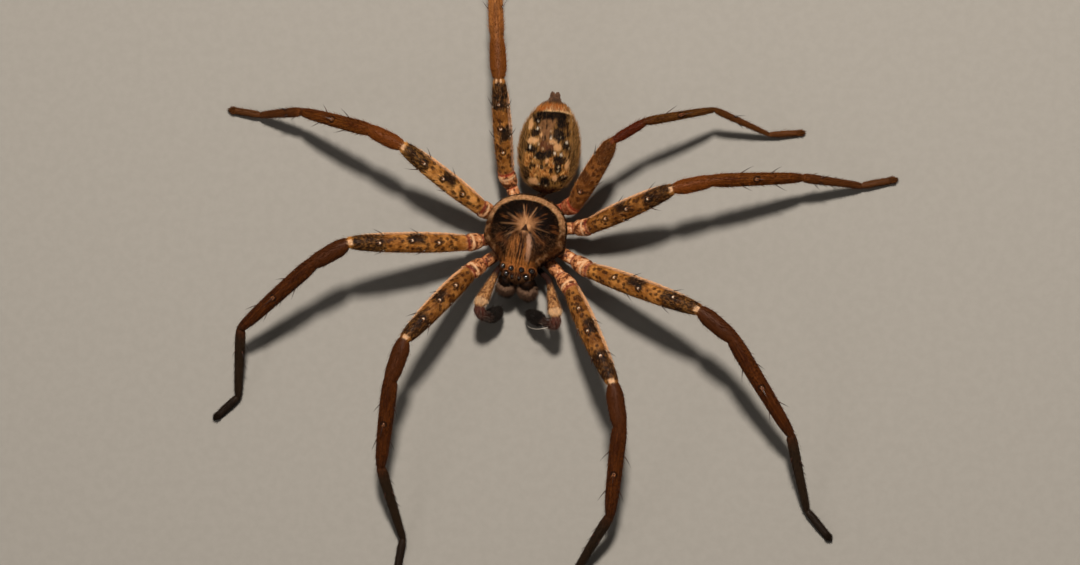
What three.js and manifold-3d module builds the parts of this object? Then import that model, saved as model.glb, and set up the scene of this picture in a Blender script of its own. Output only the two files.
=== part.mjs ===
// Huntsman spider standing still, life size, back uppermost and facing -Y.
// Millimetres and degrees, +Z up. The feet stand on Z = 0.
import * as THREE from "three";
import { mergeVertices } from "three/addons/utils/BufferGeometryUtils.js";
import Module from "manifold-3d";

const wasm = await Module();
wasm.setup();

// Driving dimensions. A place on the body is [ahead, left, height] from the middle of the front body.
const GAP = 0.3;
const EYE_GAP = 0.1;
const FRONT_BODY = { at: [-2.8, -2.15], heading: -101 };
const CARAPACE = { half: 5.4, width: 5.0, rim: 5.2, edge: 0.3, crown: 3.35 };
const STERNUM = { ahead: -0.6, half: 3.4, width: 2.4, low: 2.6, high: 4.6 };
const COXA = { low: 3.55, high: 3.7, share: 0.62 };
const ABDOMEN = { front: [-0.33, 3.34], heading: 84.5, length: 11.0, height: 4.9 };
const ABDOMEN_SECTION = { width: 3.78, rise: 3.0, drop: 2.5, seat: 0.5 };
const ABDOMEN_COURSE = { skew: 0.05, fullness: 0.47, arch: 0.9, sink: 0.3 };
const PEDICEL = { from: [-4.3, 0, 3.8], bend: [-5.5, 0.7, 4.0], half: 0.46 };
const CHELICERA = { top: [5.3, 1.3, 4.6], bulge: [5.8, 1.36, 3.4], tip: [6.55, 1.3, 1.75] };
const FANG = { root: [6.4, 1.25, 1.4], bend: [6.15, 0.95, 0.95], tip: [5.45, 0.3, 0.95], half: 0.28 };
const ENDITE = { from: [3.1, 0.75, 3.0], to: [4.3, 0.7, 3.05], half: 0.56 };
const PALP_ROOT = [3.3, 2.2, 3.3];
const SPINNERETS = { base: 0.4, long: 0.75, half: 0.26, tip: 0.12, apart: 0.24, spread: 0.1, sunk: 0.25 };
const SPINE = { half: 0.25, sunk: 0.4, lean: 50, bend: 0.18 };
const SPINE_VARIES = { share: 0.03, turn: 14, lean: 12, length: 0.3 };
const CLAW = { long: 0.55, half: 0.16, share: 0.96, apart: 0.14, above: 0.1, splay: 0.25, sunk: 0.25 };
const BOW = { femur: 0.35, tibia: 0.25, metatarsus: 0.15 };

// Eyes as ahead, left and half-width, each with its twin on the right.
const EYES = {
  front_middle: [4.72, 0.42, 0.2],
  front_side: [4.5, 1.2, 0.3],
  rear_middle: [3.83, 0.62, 0.24],
  rear_side: [3.72, 1.75, 0.28],
};

// Where each pair of legs leaves the breastplate, as an angle round its oval from the front.
const ROOT_ANGLES = [58, 82, 108, 142];

// A leg has its hip, then femur, patella, tibia, metatarsus and tarsus as length and compass heading,
// the height of every joint from hip to toe, and the stoutness of femur, tibia, metatarsus and tarsus.
// The left fourth leg is a thin regrown one with few spines.
const STOUT = [1, 1, 1, 1];
const LEGS = {
  left_1: {
    hip: [2.73, -8.2],
    length: [14.3, 5.1, 11.9, 10.2, 4.0],
    heading: [-64.2, -81.1, -98.7, -123.2, -116.5],
    height: [4.9, 11.4, 11.0, 5.8, 0.95, 0.42],
    stout: STOUT,
  },
  left_2: {
    hip: [4.9, -5.93],
    length: [15.7, 5.1, 14.0, 10.3, 4.4],
    heading: [-20.8, -40.6, -59.5, -78.8, -51.9],
    height: [4.9, 11.0, 10.6, 5.6, 0.95, 0.42],
    stout: STOUT,
  },
  left_3: {
    hip: [4.9, -0.76],
    length: [12.3, 4.6, 11.6, 8.1, 4.2],
    heading: [21.3, 11.8, 3.6, -5.5, 10.3],
    height: [4.9, 10.0, 9.7, 5.0, 0.95, 0.42],
    stout: [0.97, 0.88, 0.9, 0.9],
  },
  left_4: {
    hip: [3.1, 1.9],
    length: [10.1, 4.4, 9.2, 8.2, 4.1],
    heading: [54.6, 30.6, 12.7, -22.2, 3.6],
    height: [4.9, 9.8, 9.6, 5.4, 0.95, 0.42],
    stout: [0.97, 0.6, 0.68, 0.78],
    regrown: true,
  },
  right_1: {
    hip: [-9.48, -6.08],
    length: [12.8, 5.1, 11.8, 10.2, 4.3],
    heading: [-129.6, -110.4, -101.1, -77.4, -101.1],
    height: [4.9, 11.8, 11.2, 5.8, 0.95, 0.42],
    stout: STOUT,
  },
  right_2: {
    hip: [-9.85, -2.58],
    length: [14.8, 4.9, 13.4, 9.5, 3.9],
    heading: [-178.6, -151.4, -142.4, -99.0, -138.1],
    height: [4.9, 11.2, 10.8, 5.6, 0.95, 0.42],
    stout: STOUT,
  },
  right_3: {
    hip: [-8.15, 1.63],
    length: [12.5, 4.5, 10.8, 7.1, 4.0],
    heading: [141.3, 153.0, 163.0, 178.7, 169.4],
    height: [4.9, 10.4, 9.9, 5.0, 0.95, 0.42],
    stout: [0.97, 0.9, 0.92, 0.92],
  },
  right_4: {
    hip: [-5.12, 5.83],
    length: [12.1, 5.0, 12.2, 11.0, 4.0],
    heading: [91.0, 93.2, 94.9, 99.5, 105.5],
    height: [4.9, 10.6, 10.3, 5.4, 0.95, 0.42],
    stout: [0.92, 0.95, 0.95, 0.95],
  },
};

// A palp has its hip, then femur, patella, tibia and tarsus.
const PALPS = {
  left: {
    hip: [0.03, -7.14],
    length: [5.1, 1.11, 2.28, 3.89],
    heading: [-76.7, -98.1, 162.1, 152.4],
    height: [4.4, 6.6, 6.1, 4.5, 1.6],
  },
  right: {
    hip: [-6.28, -5.9],
    length: [5.37, 1.07, 1.96, 3.26],
    heading: [-113.4, -85.7, -24, 47.7],
    height: [4.1, 6.6, 6.1, 4.4, 1.5],
  },
};

// Girths along a limb: which stretch, how far along it, half-width and half-height.
const FEMUR_GIRTH = [
  [0, 0, 0.6, 0.66],
  [0, 0.5, 0.84, 0.84],
  [0, 0.92, 0.86, 0.84],
  [1, 0.35, 1.1, 1.0],
  [1, 0.9, 1.2, 1.1],
  [2, 0.05, 1.1, 1.04],
  [2, 0.18, 1.22, 1.22],
  [2, 0.4, 1.3, 1.32],
  [2, 0.66, 1.24, 1.22],
  [2, 0.9, 1.04, 1.02],
  [2, 1, 0.86, 0.86],
];
const TIBIA_GIRTH = [
  [0, 0, 0.86, 0.84],
  [0, 0.3, 1.12, 1.08],
  [0, 0.75, 1.08, 1.05],
  [1, 0, 0.94, 0.94],
  [1, 0.14, 1.04, 1.04],
  [1, 0.5, 0.98, 0.98],
  [1, 0.86, 0.84, 0.84],
  [1, 1, 0.68, 0.68],
];
const METATARSUS_GIRTH = [
  [0, 0, 0.66, 0.66],
  [0, 0.14, 0.74, 0.72],
  [0, 0.55, 0.64, 0.6],
  [0, 0.92, 0.56, 0.5],
  [0, 1, 0.5, 0.46],
];
const TARSUS_GIRTH = [
  [0, 0, 0.48, 0.46],
  [0, 0.25, 0.56, 0.54],
  [0, 0.7, 0.56, 0.56],
  [0, 0.92, 0.44, 0.48],
  [0, 1, 0.22, 0.3],
];
const PALP_FEMUR_GIRTH = [
  [0, 0, 0.4, 0.42],
  [0, 0.9, 0.42, 0.42],
  [1, 0.12, 0.48, 0.46],
  [1, 0.5, 0.68, 0.6],
  [1, 0.85, 0.88, 0.76],
  [1, 1, 0.72, 0.62],
];
const PALP_TIBIA_GIRTH = [
  [0, 0, 0.68, 0.6],
  [0, 0.5, 0.74, 0.68],
  [1, 0, 0.66, 0.66],
  [1, 0.42, 0.7, 0.7],
  [1, 1, 0.6, 0.6],
];
const PALP_TARSUS_GIRTH = [
  [0, 0, 0.6, 0.6],
  [0, 0.3, 0.86, 0.8],
  [0, 0.65, 0.78, 0.72],
  [0, 0.9, 0.46, 0.44],
  [0, 1, 0.16, 0.16],
];

// Spines: which stretch, how far along, the angle round the limb from its side (90 is the top), length.
const FEMUR_SPINES = [
  [2, 0.26, 90, 1.7],
  [2, 0.5, 84, 1.8],
  [2, 0.76, 96, 1.7],
  [2, 0.42, 22, 1.7],
  [2, 0.72, 18, 1.8],
  [2, 0.4, 158, 1.7],
  [2, 0.74, 162, 1.8],
];
const TIBIA_SPINES = [
  [1, 0.3, 8, 1.9],
  [1, 0.68, 4, 1.9],
  [1, 0.3, 172, 1.9],
  [1, 0.68, 176, 1.9],
  [1, 0.16, -58, 1.8],
  [1, 0.16, -122, 1.8],
  [1, 0.5, -58, 1.8],
  [1, 0.5, -122, 1.8],
  [1, 0.48, 88, 1.6],
];
const METATARSUS_SPINES = [
  [0, 0.2, -40, 1.6],
  [0, 0.2, -140, 1.6],
  [0, 0.5, -30, 1.5],
  [0, 0.5, -150, 1.5],
  [0, 0.3, 40, 1.4],
  [0, 0.32, 140, 1.4],
];

// Colours of the sub-parts
const TAN = { color: 0x8a5a33, roughness: 0.7 };
const MAHOGANY = { color: 0x5b2a16, roughness: 0.7 };
const SOOT = { color: 0x231c1a, roughness: 0.7 };
const DARK_BROWN = { color: 0x3a2014, roughness: 0.7 };
const BLACK_GLOSS = { color: 0x0d0908, roughness: 0.15 };
const MOTTLED = { color: 0x6a5436, roughness: 0.75 };

const UP = new THREE.Vector3(0, 0, 1);
const radians = THREE.MathUtils.degToRad;

// A repeatable draw between 0 and 1
let seed = 71;
function draw() {
  seed = (seed * 1103515245 + 12345) % 2147483648;
  return seed / 2147483648;
}

function smooth(low, high, x) {
  return THREE.MathUtils.smoothstep(x, low, high);
}

function compass(heading) {
  return new THREE.Vector3(Math.cos(radians(heading)), Math.sin(radians(heading)), 0);
}

const AHEAD = compass(FRONT_BODY.heading);
const LEFT = compass(FRONT_BODY.heading + 90);

// A place on the body, from its distance ahead of the middle, its distance left and its height
function onBody([ahead, left, height]) {
  return new THREE.Vector3(FRONT_BODY.at[0], FRONT_BODY.at[1], height)
    .addScaledVector(AHEAD, ahead)
    .addScaledVector(LEFT, left);
}

function mirrored([ahead, left, height], side) {
  return onBody([ahead, left * side, height]);
}

// Closed solid from a three.js geometry, with its seams joined and its collapsed faces dropped
function solidFrom(geometry) {
  geometry.deleteAttribute("normal");
  geometry.deleteAttribute("uv");
  const welded = mergeVertices(geometry, 1e-4);
  const kept = [];
  for (let i = 0; i < welded.index.count; i += 3) {
    const [a, b, c] = welded.index.array.slice(i, i + 3);
    if (a !== b && b !== c && c !== a) kept.push(a, b, c);
  }
  const vertProperties = welded.attributes.position.array;
  const solid = new wasm.Manifold(
    new wasm.Mesh({ numProp: 3, vertProperties, triVerts: new Uint32Array(kept) }),
  );
  if (solid.volume() > 0) return solid;
  const turned = new Uint32Array(kept).reverse();
  return new wasm.Manifold(new wasm.Mesh({ numProp: 3, vertProperties, triVerts: turned }));
}

function geometryFrom(solid) {
  const pieces = solid.decompose();
  const largest = pieces.reduce((best, piece) => (piece.volume() > best.volume() ? piece : best));
  const mesh = largest.getMesh();
  const geometry = new THREE.BufferGeometry();
  geometry.setAttribute("position", new THREE.BufferAttribute(mesh.vertProperties, 3));
  geometry.setIndex(new THREE.BufferAttribute(mesh.triVerts, 1));
  geometry.computeVertexNormals();
  return geometry;
}

// Solid through a row of oval rings. Each ring has its middle, two directions and three half-sizes.
// A lathed cylinder of radius 1 is reshaped: its height picks the ring, and its angle the place on it.
function loft(rings, sides) {
  const profile = rings.map((ring, i) => new THREE.Vector2(1, i));
  profile.unshift(new THREE.Vector2(0, 0));
  profile.push(new THREE.Vector2(0, rings.length - 1));
  const geometry = new THREE.LatheGeometry(profile, sides);
  const place = geometry.attributes.position;
  for (let i = 0; i < place.count; i++) {
    const ring = rings[Math.round(place.getY(i))];
    const side = place.getX(i);
    const top = place.getZ(i);
    const vertex = ring.at
      .clone()
      .addScaledVector(ring.across, side * ring.half)
      .addScaledVector(ring.up, top * (top > 0 ? ring.rise : ring.drop));
    place.setXYZ(i, vertex.x, vertex.y, vertex.z);
  }
  return solidFrom(geometry);
}

// A limb runs straight from joint to joint, and its rings turn half way at each joint, so that two
// neighbouring limbs end in facing parallel planes.
class Limb {
  constructor(joints, girth, settings = {}) {
    const { before, after, facing = UP, startGap = GAP / 2, endGap = GAP / 2, bow = 0 } = settings;
    Object.assign(this, { joints, girth, facing, startGap, endGap, bow });
    const runs = joints.slice(1).map((joint, i) => joint.clone().sub(joints[i]).normalize());
    const around = [before ?? runs[0], ...runs, after ?? runs[runs.length - 1]];
    this.runs = runs;
    this.turns = around.slice(1).map((run, i) => run.clone().add(around[i]).normalize());
  }

  place(stretch, share) {
    const from = this.joints[stretch];
    const to = this.joints[stretch + 1];
    const blend = 0.3;
    const along = this.runs[stretch].clone();
    if (share < blend) along.lerp(this.turns[stretch], 1 - smooth(0, blend, share));
    if (share > 1 - blend) along.lerp(this.turns[stretch + 1], smooth(1 - blend, 1, share));
    along.normalize();
    const across = along.clone().cross(this.facing).normalize();
    const up = across.clone().cross(along);
    const at = from.clone().lerp(to, share);
    const last = stretch === this.runs.length - 1;
    if (last) at.addScaledVector(up, this.bow * 4 * share * (1 - share));
    if (stretch === 0 && share === 0) at.addScaledVector(along, this.startGap);
    if (last && share === 1) at.addScaledVector(along, -this.endGap);
    return { at, along, across, up };
  }

  body(sides) {
    const rings = this.girth.map(([stretch, share, half, rise]) => {
      const ring = this.place(stretch, share);
      return { ...ring, half, rise, drop: rise };
    });
    return loft(rings, sides);
  }

  // Half-width and half-height at any place, between the two nearest stations
  girthAt(stretch, share) {
    const spot = stretch + share;
    const next = this.girth.findIndex(([span, part]) => span + part >= spot);
    const high = this.girth[Math.max(next, 1)];
    const low = this.girth[Math.max(next, 1) - 1];
    const mix = (spot - low[0] - low[1]) / (high[0] + high[1] - low[0] - low[1]);
    return [low[2] + (high[2] - low[2]) * mix, low[3] + (high[3] - low[3]) * mix];
  }

  // A tapered spine, rooted inside the limb and leaning towards its tip
  spine([stretch, share, angle, length]) {
    const { at, along, across, up } = this.place(stretch, share + SPINE_VARIES.share * (draw() - 0.5));
    const [half, rise] = this.girthAt(stretch, share);
    const turn = radians(angle + SPINE_VARIES.turn * (draw() - 0.5));
    const lean = radians(SPINE.lean + SPINE_VARIES.lean * (draw() - 0.5));
    const outward = across.clone().multiplyScalar(Math.cos(turn)).addScaledVector(up, Math.sin(turn));
    const skin = at
      .clone()
      .addScaledVector(across, half * Math.cos(turn))
      .addScaledVector(up, rise * Math.sin(turn));
    const direction = outward.clone().multiplyScalar(Math.cos(lean)).addScaledVector(along, Math.sin(lean));
    const reach = length * (1 + SPINE_VARIES.length * (draw() - 0.5));
    return thorn(skin, direction, along, reach, SPINE.half, SPINE.sunk);
  }

  spined(sides, spines) {
    let solid = this.body(sides);
    for (const entry of spines) solid = solid.add(this.spine(entry));
    return solid;
  }
}

// A four-sided thorn that bends towards a direction, with its root sunk below the skin
function thorn(skin, direction, towards, length, half, sunk) {
  const geometry = new THREE.ConeGeometry(half, length + sunk, 4, 2);
  geometry.translate(0, (length + sunk) / 2, 0);
  const place = geometry.attributes.position;
  for (let i = 0; i < place.count; i++) {
    const vertex = skin
      .clone()
      .addScaledVector(direction, place.getY(i) - sunk)
      .addScaledVector(towards, place.getX(i) + length * SPINE.bend * (place.getY(i) / length) ** 2)
      .addScaledVector(direction.clone().cross(towards).normalize(), place.getZ(i));
    place.setXYZ(i, vertex.x, vertex.y, vertex.z);
  }
  return solidFrom(geometry);
}

const spider = new THREE.Group();

function addPart(name, solid, look) {
  const mesh = new THREE.Mesh(geometryFrom(solid), new THREE.MeshStandardMaterial(look));
  mesh.name = name;
  spider.add(mesh);
}

// Carapace: a low pear-shaped shell over a flat rim
function carapaceWidth(ahead) {
  const share = Math.abs(ahead / CARAPACE.half);
  const pinch = ahead > 0 ? 1 - 0.52 * smooth(0.05, 0.68, share) : 1;
  return CARAPACE.width * pinch * Math.sqrt(Math.max(0, 1 - share ** (ahead > 0 ? 7 : 3)));
}

function carapaceRise(ahead) {
  const share = Math.abs(ahead / CARAPACE.half);
  return CARAPACE.crown * Math.sqrt(Math.max(0, 1 - share ** (ahead > 0 ? 3.2 : 2.2)));
}

function carapaceTop(ahead, left) {
  const share = Math.min(1, Math.abs(left) / carapaceWidth(ahead));
  return CARAPACE.rim + carapaceRise(ahead) * Math.sqrt(1 - share * share);
}

function eyePlace(ahead, left) {
  return onBody([ahead, left, carapaceTop(ahead, left)]);
}

function eyeball(ahead, left, half) {
  const place = eyePlace(ahead, left);
  return solidFrom(new THREE.SphereGeometry(half, 8, 6).translate(place.x, place.y, place.z));
}

function makeCarapace() {
  const rows = 20;
  const rings = [];
  for (let row = 0; row <= rows; row++) {
    const ahead = -CARAPACE.half * Math.cos((Math.PI * row) / rows);
    const half = carapaceWidth(ahead);
    const rise = carapaceRise(ahead);
    const drop = Math.min(CARAPACE.edge, half);
    rings.push({ at: onBody([ahead, 0, CARAPACE.rim]), across: LEFT, up: UP, half, rise, drop });
  }
  let shell = loft(rings, 24);
  for (const [ahead, left, half] of Object.values(EYES)) {
    for (const side of [1, -1]) shell = shell.subtract(eyeball(ahead, left * side, half + EYE_GAP));
  }
  addPart("carapace", shell, DARK_BROWN);
}

function makeEyes() {
  for (const [name, [ahead, left, half]] of Object.entries(EYES)) {
    addPart(`eye_${name}_left`, eyeball(ahead, left, half), BLACK_GLOSS);
    addPart(`eye_${name}_right`, eyeball(ahead, -left, half), BLACK_GLOSS);
  }
}

// Breastplate under the body, an oval block with rounded lower edges
function makeSternum() {
  const levels = [
    [STERNUM.low, 0.62],
    [STERNUM.low + 0.4, 0.9],
    [STERNUM.low + 0.9, 1],
    [STERNUM.high, 1],
  ];
  const rings = levels.map(([height, share]) => ({
    at: onBody([STERNUM.ahead, 0, height]),
    across: LEFT,
    up: AHEAD,
    half: STERNUM.width * share,
    rise: STERNUM.half * share,
    drop: STERNUM.half * share,
  }));
  addPart("sternum", loft(rings, 20), DARK_BROWN);
}

// Abdomen: an egg, widest a little before its middle, with a small flat seat at either end
const ABDOMEN_AXIS = compass(ABDOMEN.heading);
const ABDOMEN_SIDE = compass(ABDOMEN.heading - 90);

function abdomenPlace(share) {
  const lift = ABDOMEN_COURSE.arch * Math.sin(Math.PI * share ** 0.8) - ABDOMEN_COURSE.sink * share;
  return new THREE.Vector3(ABDOMEN.front[0], ABDOMEN.front[1], ABDOMEN.height + lift).addScaledVector(
    ABDOMEN_AXIS,
    ABDOMEN.length * share,
  );
}

function abdomenGirth(share) {
  const spot = 2 * share - 1;
  const skewed = spot + ABDOMEN_COURSE.skew * (1 - spot * spot);
  return Math.max(0, 1 - skewed * skewed) ** ABDOMEN_COURSE.fullness;
}

function makeAbdomen() {
  const rows = 20;
  const rings = [];
  for (let row = 0; row <= rows; row++) {
    const share = 0.5 - 0.5 * Math.cos((Math.PI * row) / rows);
    const girth = abdomenGirth(share);
    rings.push({
      at: abdomenPlace(share),
      across: ABDOMEN_SIDE,
      up: UP,
      half: Math.max(ABDOMEN_SECTION.width * girth, ABDOMEN_SECTION.seat),
      rise: Math.max(ABDOMEN_SECTION.rise * girth, ABDOMEN_SECTION.seat),
      drop: Math.max(ABDOMEN_SECTION.drop * girth, ABDOMEN_SECTION.seat),
    });
  }
  addPart("abdomen", loft(rings, 24), MOTTLED);
}

// Waist between the two body halves
function makePedicel() {
  const joints = [onBody(PEDICEL.from), onBody(PEDICEL.bend), abdomenPlace(0)];
  const girth = [[0, 0], [0, 0.6], [1, 0.2], [1, 1]].map((place) => [...place, PEDICEL.half, PEDICEL.half]);
  const waist = new Limb(joints, girth, {
    before: AHEAD.clone().negate(),
    after: ABDOMEN_AXIS,
    startGap: 0,
    endGap: GAP,
  });
  addPart("pedicel", waist.body(8), DARK_BROWN);
}

// Four short spinnerets on one root behind the abdomen
function makeSpinnerets() {
  const tail = abdomenPlace(1);
  const girth = [[0, 0, 0.5, 0.48], [0, 0.5, 0.62, 0.55], [0, 1, 0.45, 0.4]];
  const end = tail.clone().addScaledVector(ABDOMEN_AXIS, GAP + SPINNERETS.base);
  let solid = new Limb([tail, end], girth, { startGap: GAP, endGap: 0 }).body(10);
  for (const side of [1, -1]) {
    for (const level of [1, -1]) {
      const root = end
        .clone()
        .addScaledVector(ABDOMEN_AXIS, -SPINNERETS.sunk)
        .addScaledVector(ABDOMEN_SIDE, side * SPINNERETS.apart)
        .addScaledVector(UP, level * SPINNERETS.apart);
      const tip = root
        .clone()
        .addScaledVector(ABDOMEN_AXIS, SPINNERETS.long)
        .addScaledVector(ABDOMEN_SIDE, side * SPINNERETS.spread)
        .addScaledVector(UP, level * SPINNERETS.spread);
      const finger = [
        [0, 0, SPINNERETS.half, SPINNERETS.half],
        [0, 1, SPINNERETS.tip, SPINNERETS.tip],
      ];
      solid = solid.add(new Limb([root, tip], finger, { startGap: 0, endGap: 0 }).body(6));
    }
  }
  addPart("spinnerets", solid, DARK_BROWN);
}

// Jaws and fangs
function makeJaws(name, side) {
  const jaw = new Limb(
    [CHELICERA.top, CHELICERA.bulge, CHELICERA.tip].map((place) => mirrored(place, side)),
    [
      [0, 0, 0.98, 0.98],
      [0, 0.45, 1.12, 1.2],
      [1, 0.1, 1.13, 1.18],
      [1, 0.6, 1.0, 0.98],
      [1, 0.92, 0.78, 0.76],
      [1, 1, 0.55, 0.55],
    ],
    { before: UP.clone().negate(), after: UP.clone().negate(), facing: AHEAD, startGap: 0, endGap: 0 },
  );
  addPart(`chelicera_${name}`, jaw.body(12), SOOT);
  const fang = new Limb(
    [FANG.root, FANG.bend, FANG.tip].map((place) => mirrored(place, side)),
    [
      [0, 0, FANG.half, FANG.half],
      [0, 0.6, FANG.half, FANG.half],
      [1, 0.3, 0.22, 0.22],
      [1, 1, 0.04, 0.04],
    ],
    { before: UP.clone().negate(), facing: AHEAD, startGap: 0, endGap: 0 },
  );
  addPart(`fang_${name}`, fang.body(6), BLACK_GLOSS);
  const mouthpart = new Limb(
    [ENDITE.from, ENDITE.to].map((place) => mirrored(place, side)),
    [
      [0, 0, 0.4, 0.4],
      [0, 0.3, ENDITE.half, 0.5],
      [0, 0.8, ENDITE.half, 0.48],
      [0, 1, 0.4, 0.34],
    ],
    { startGap: 0, endGap: 0 },
  );
  addPart(`endite_${name}`, mouthpart.body(8), DARK_BROWN);
}

// Joints of a leg or palp, from its hip, then a length, a heading and a height for each part
function jointsOf({ hip, length, heading, height }) {
  const joints = [new THREE.Vector3(hip[0], hip[1], height[0])];
  length.forEach((reach, i) => {
    const climb = height[i + 1] - height[i];
    const plan = Math.sqrt(reach * reach - climb * climb);
    joints.push(joints[i].clone().addScaledVector(compass(heading[i]), plan).addScaledVector(UP, climb));
  });
  return joints;
}

function direction(from, to) {
  return to.clone().sub(from).normalize();
}

function stouter(girth, factor, from = 0) {
  return girth.map(([stretch, share, half, rise]) =>
    stretch < from ? [stretch, share, half, rise] : [stretch, share, half * factor, rise * factor],
  );
}

// Everything below the level that the feet stand on
const BELOW = solidFrom(new THREE.BoxGeometry(200, 200, 5).translate(0, 0, -2.5));

function makeLeg(name, leg) {
  const [side, number] = name.split("_");
  const joints = jointsOf(leg);
  const angle = radians(ROOT_ANGLES[number - 1]) * (side === "left" ? 1 : -1);
  const outline = { ahead: STERNUM.half + GAP, left: STERNUM.width + GAP };
  const root = onBody([
    STERNUM.ahead + outline.ahead * Math.cos(angle),
    outline.left * Math.sin(angle),
    COXA.low,
  ]);
  const outward = AHEAD.clone()
    .multiplyScalar(Math.cos(angle) / outline.ahead)
    .addScaledVector(LEFT, Math.sin(angle) / outline.left)
    .normalize();
  const elbow = root.clone().lerp(joints[0], COXA.share).setZ(COXA.high);
  const runs = joints.slice(1).map((joint, i) => direction(joints[i], joint));
  const [femurStout, tibiaStout, metatarsusStout, tarsusStout] = leg.stout;
  const grown = (spines) => (leg.regrown ? spines.filter((_, i) => i % 3 === 0) : spines);

  const femur = new Limb([root, elbow, joints[0], joints[1]], stouter(FEMUR_GIRTH, femurStout, 2), {
    before: outward,
    after: runs[1],
    startGap: 0,
    bow: BOW.femur,
  });
  addPart(`leg_${name}_femur`, femur.spined(10, grown(FEMUR_SPINES)), TAN);

  const tibia = new Limb(joints.slice(1, 4), stouter(TIBIA_GIRTH, tibiaStout), {
    before: runs[0],
    after: runs[3],
    bow: BOW.tibia,
  });
  addPart(`leg_${name}_tibia`, tibia.spined(10, grown(TIBIA_SPINES)), MAHOGANY);

  const metatarsus = new Limb(joints.slice(3, 5), stouter(METATARSUS_GIRTH, metatarsusStout), {
    before: runs[2],
    after: runs[4],
    bow: BOW.metatarsus,
  });
  addPart(`leg_${name}_metatarsus`, metatarsus.spined(8, grown(METATARSUS_SPINES)), SOOT);

  const tarsus = new Limb(joints.slice(4, 6), stouter(TARSUS_GIRTH, tarsusStout), {
    before: runs[3],
    endGap: 0,
  });
  addPart(`leg_${name}_tarsus`, clawed(tarsus).subtract(BELOW), SOOT);
}

// A foot with its two small claws
function clawed(tarsus) {
  let solid = tarsus.body(8);
  for (const side of [1, -1]) {
    const { at, along, across, up } = tarsus.place(0, CLAW.share);
    const skin = at.clone().addScaledVector(across, side * CLAW.apart).addScaledVector(up, CLAW.above);
    const aim = along.clone().addScaledVector(across, side * CLAW.splay).normalize();
    solid = solid.add(thorn(skin, aim, up.clone().negate(), CLAW.long, CLAW.half, CLAW.sunk));
  }
  return solid;
}

function makePalp(name, palp) {
  const side = name === "left" ? 1 : -1;
  const joints = jointsOf(palp);
  const root = mirrored(PALP_ROOT, side);
  const runs = joints.slice(1).map((joint, i) => direction(joints[i], joint));
  const femur = new Limb([root, joints[0], joints[1]], PALP_FEMUR_GIRTH, { after: runs[1], startGap: 0 });
  addPart(`palp_${name}_femur`, femur.body(8), TAN);
  const tibia = new Limb(joints.slice(1, 4), PALP_TIBIA_GIRTH, { before: runs[0], after: runs[3] });
  addPart(`palp_${name}_tibia`, tibia.body(8), DARK_BROWN);
  const tarsus = new Limb(joints.slice(3, 5), PALP_TARSUS_GIRTH, { before: runs[2], endGap: 0 });
  addPart(`palp_${name}_tarsus`, tarsus.body(10), SOOT);
}

makeCarapace();
makeEyes();
makeSternum();
makeAbdomen();
makePedicel();
makeSpinnerets();
for (const [name, side] of [["left", 1], ["right", -1]]) makeJaws(name, side);
for (const [name, leg] of Object.entries(LEGS)) makeLeg(name, leg);
for (const [name, palp] of Object.entries(PALPS)) makePalp(name, palp);

export default spider;
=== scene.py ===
# Huntsman spider standing still, life size, back uppermost and facing -Y.
# Lengths are millimetres until a mesh is made, and the feet stand on Z = 0.
import math
from types import SimpleNamespace

import bpy
import numpy as np
from mathutils import Matrix


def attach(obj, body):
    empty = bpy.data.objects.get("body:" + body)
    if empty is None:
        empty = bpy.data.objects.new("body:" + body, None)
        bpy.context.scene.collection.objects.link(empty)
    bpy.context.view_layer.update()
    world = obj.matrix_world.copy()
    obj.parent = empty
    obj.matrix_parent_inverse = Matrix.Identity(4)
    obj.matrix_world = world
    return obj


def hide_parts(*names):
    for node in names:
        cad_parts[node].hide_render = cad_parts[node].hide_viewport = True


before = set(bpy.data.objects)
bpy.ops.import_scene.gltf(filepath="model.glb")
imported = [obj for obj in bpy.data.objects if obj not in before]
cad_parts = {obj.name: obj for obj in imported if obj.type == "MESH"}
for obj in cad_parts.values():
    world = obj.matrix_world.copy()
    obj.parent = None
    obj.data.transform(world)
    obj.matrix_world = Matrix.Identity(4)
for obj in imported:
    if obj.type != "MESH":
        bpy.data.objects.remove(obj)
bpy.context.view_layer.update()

METRES = 0.001
UP = np.array([0.0, 0.0, 1.0])
draw = np.random.default_rng(71)

# Driving dimensions. The body, the legs and the palps have the same ones in the solids.
# A place on the body is ahead, left and height, from the middle of the front body.
FRONT_BODY = {"at": (-2.8, -2.15), "heading": -101.0}
CARAPACE = {"half": 5.4, "width": 5.0, "rim": 5.2, "edge": 0.3, "crown": 3.35, "pinch": 0.52}
CARAPACE_BLUNT = {"outline": (7, 3), "profile": (3.2, 2.2)}
STERNUM = {"ahead": -0.6, "half": 3.4, "width": 2.4, "low": 2.6, "high": 4.6}
COXA = {"low": 3.55, "high": 3.7, "share": 0.62, "gap": 0.3, "sunk": 0.5}
ABDOMEN = {"front": (-0.33, 3.34), "heading": 84.5, "length": 11.0, "height": 4.9}
ABDOMEN_SECTION = {"width": 3.78, "rise": 3.0, "drop": 2.5}
ABDOMEN_COURSE = {"skew": 0.05, "fullness": 0.47, "arch": 0.9, "sink": 0.3}
PEDICEL = {"from": (-4.3, 0.0, 3.8), "bend": (-5.5, 0.7, 4.0), "half": 0.46}
CHELICERA = [(4.9, 1.2, 6.1), (5.8, 1.36, 3.6), (6.55, 1.3, 1.75)]
FANG = [(6.4, 1.25, 1.4), (6.15, 0.95, 0.95), (5.45, 0.3, 0.95)]
ENDITE = [(3.1, 0.75, 3.0), (4.3, 0.7, 3.05)]
PALP_ROOT = (3.3, 2.2, 3.3)
SPINNERETS = {"base": 0.6, "long": 0.55, "apart": 0.22, "spread": 0.1, "sunk": 0.25}
ROOT_ANGLES = [58, 82, 108, 142]
SIDES = {"left": 1, "right": -1}

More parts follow.
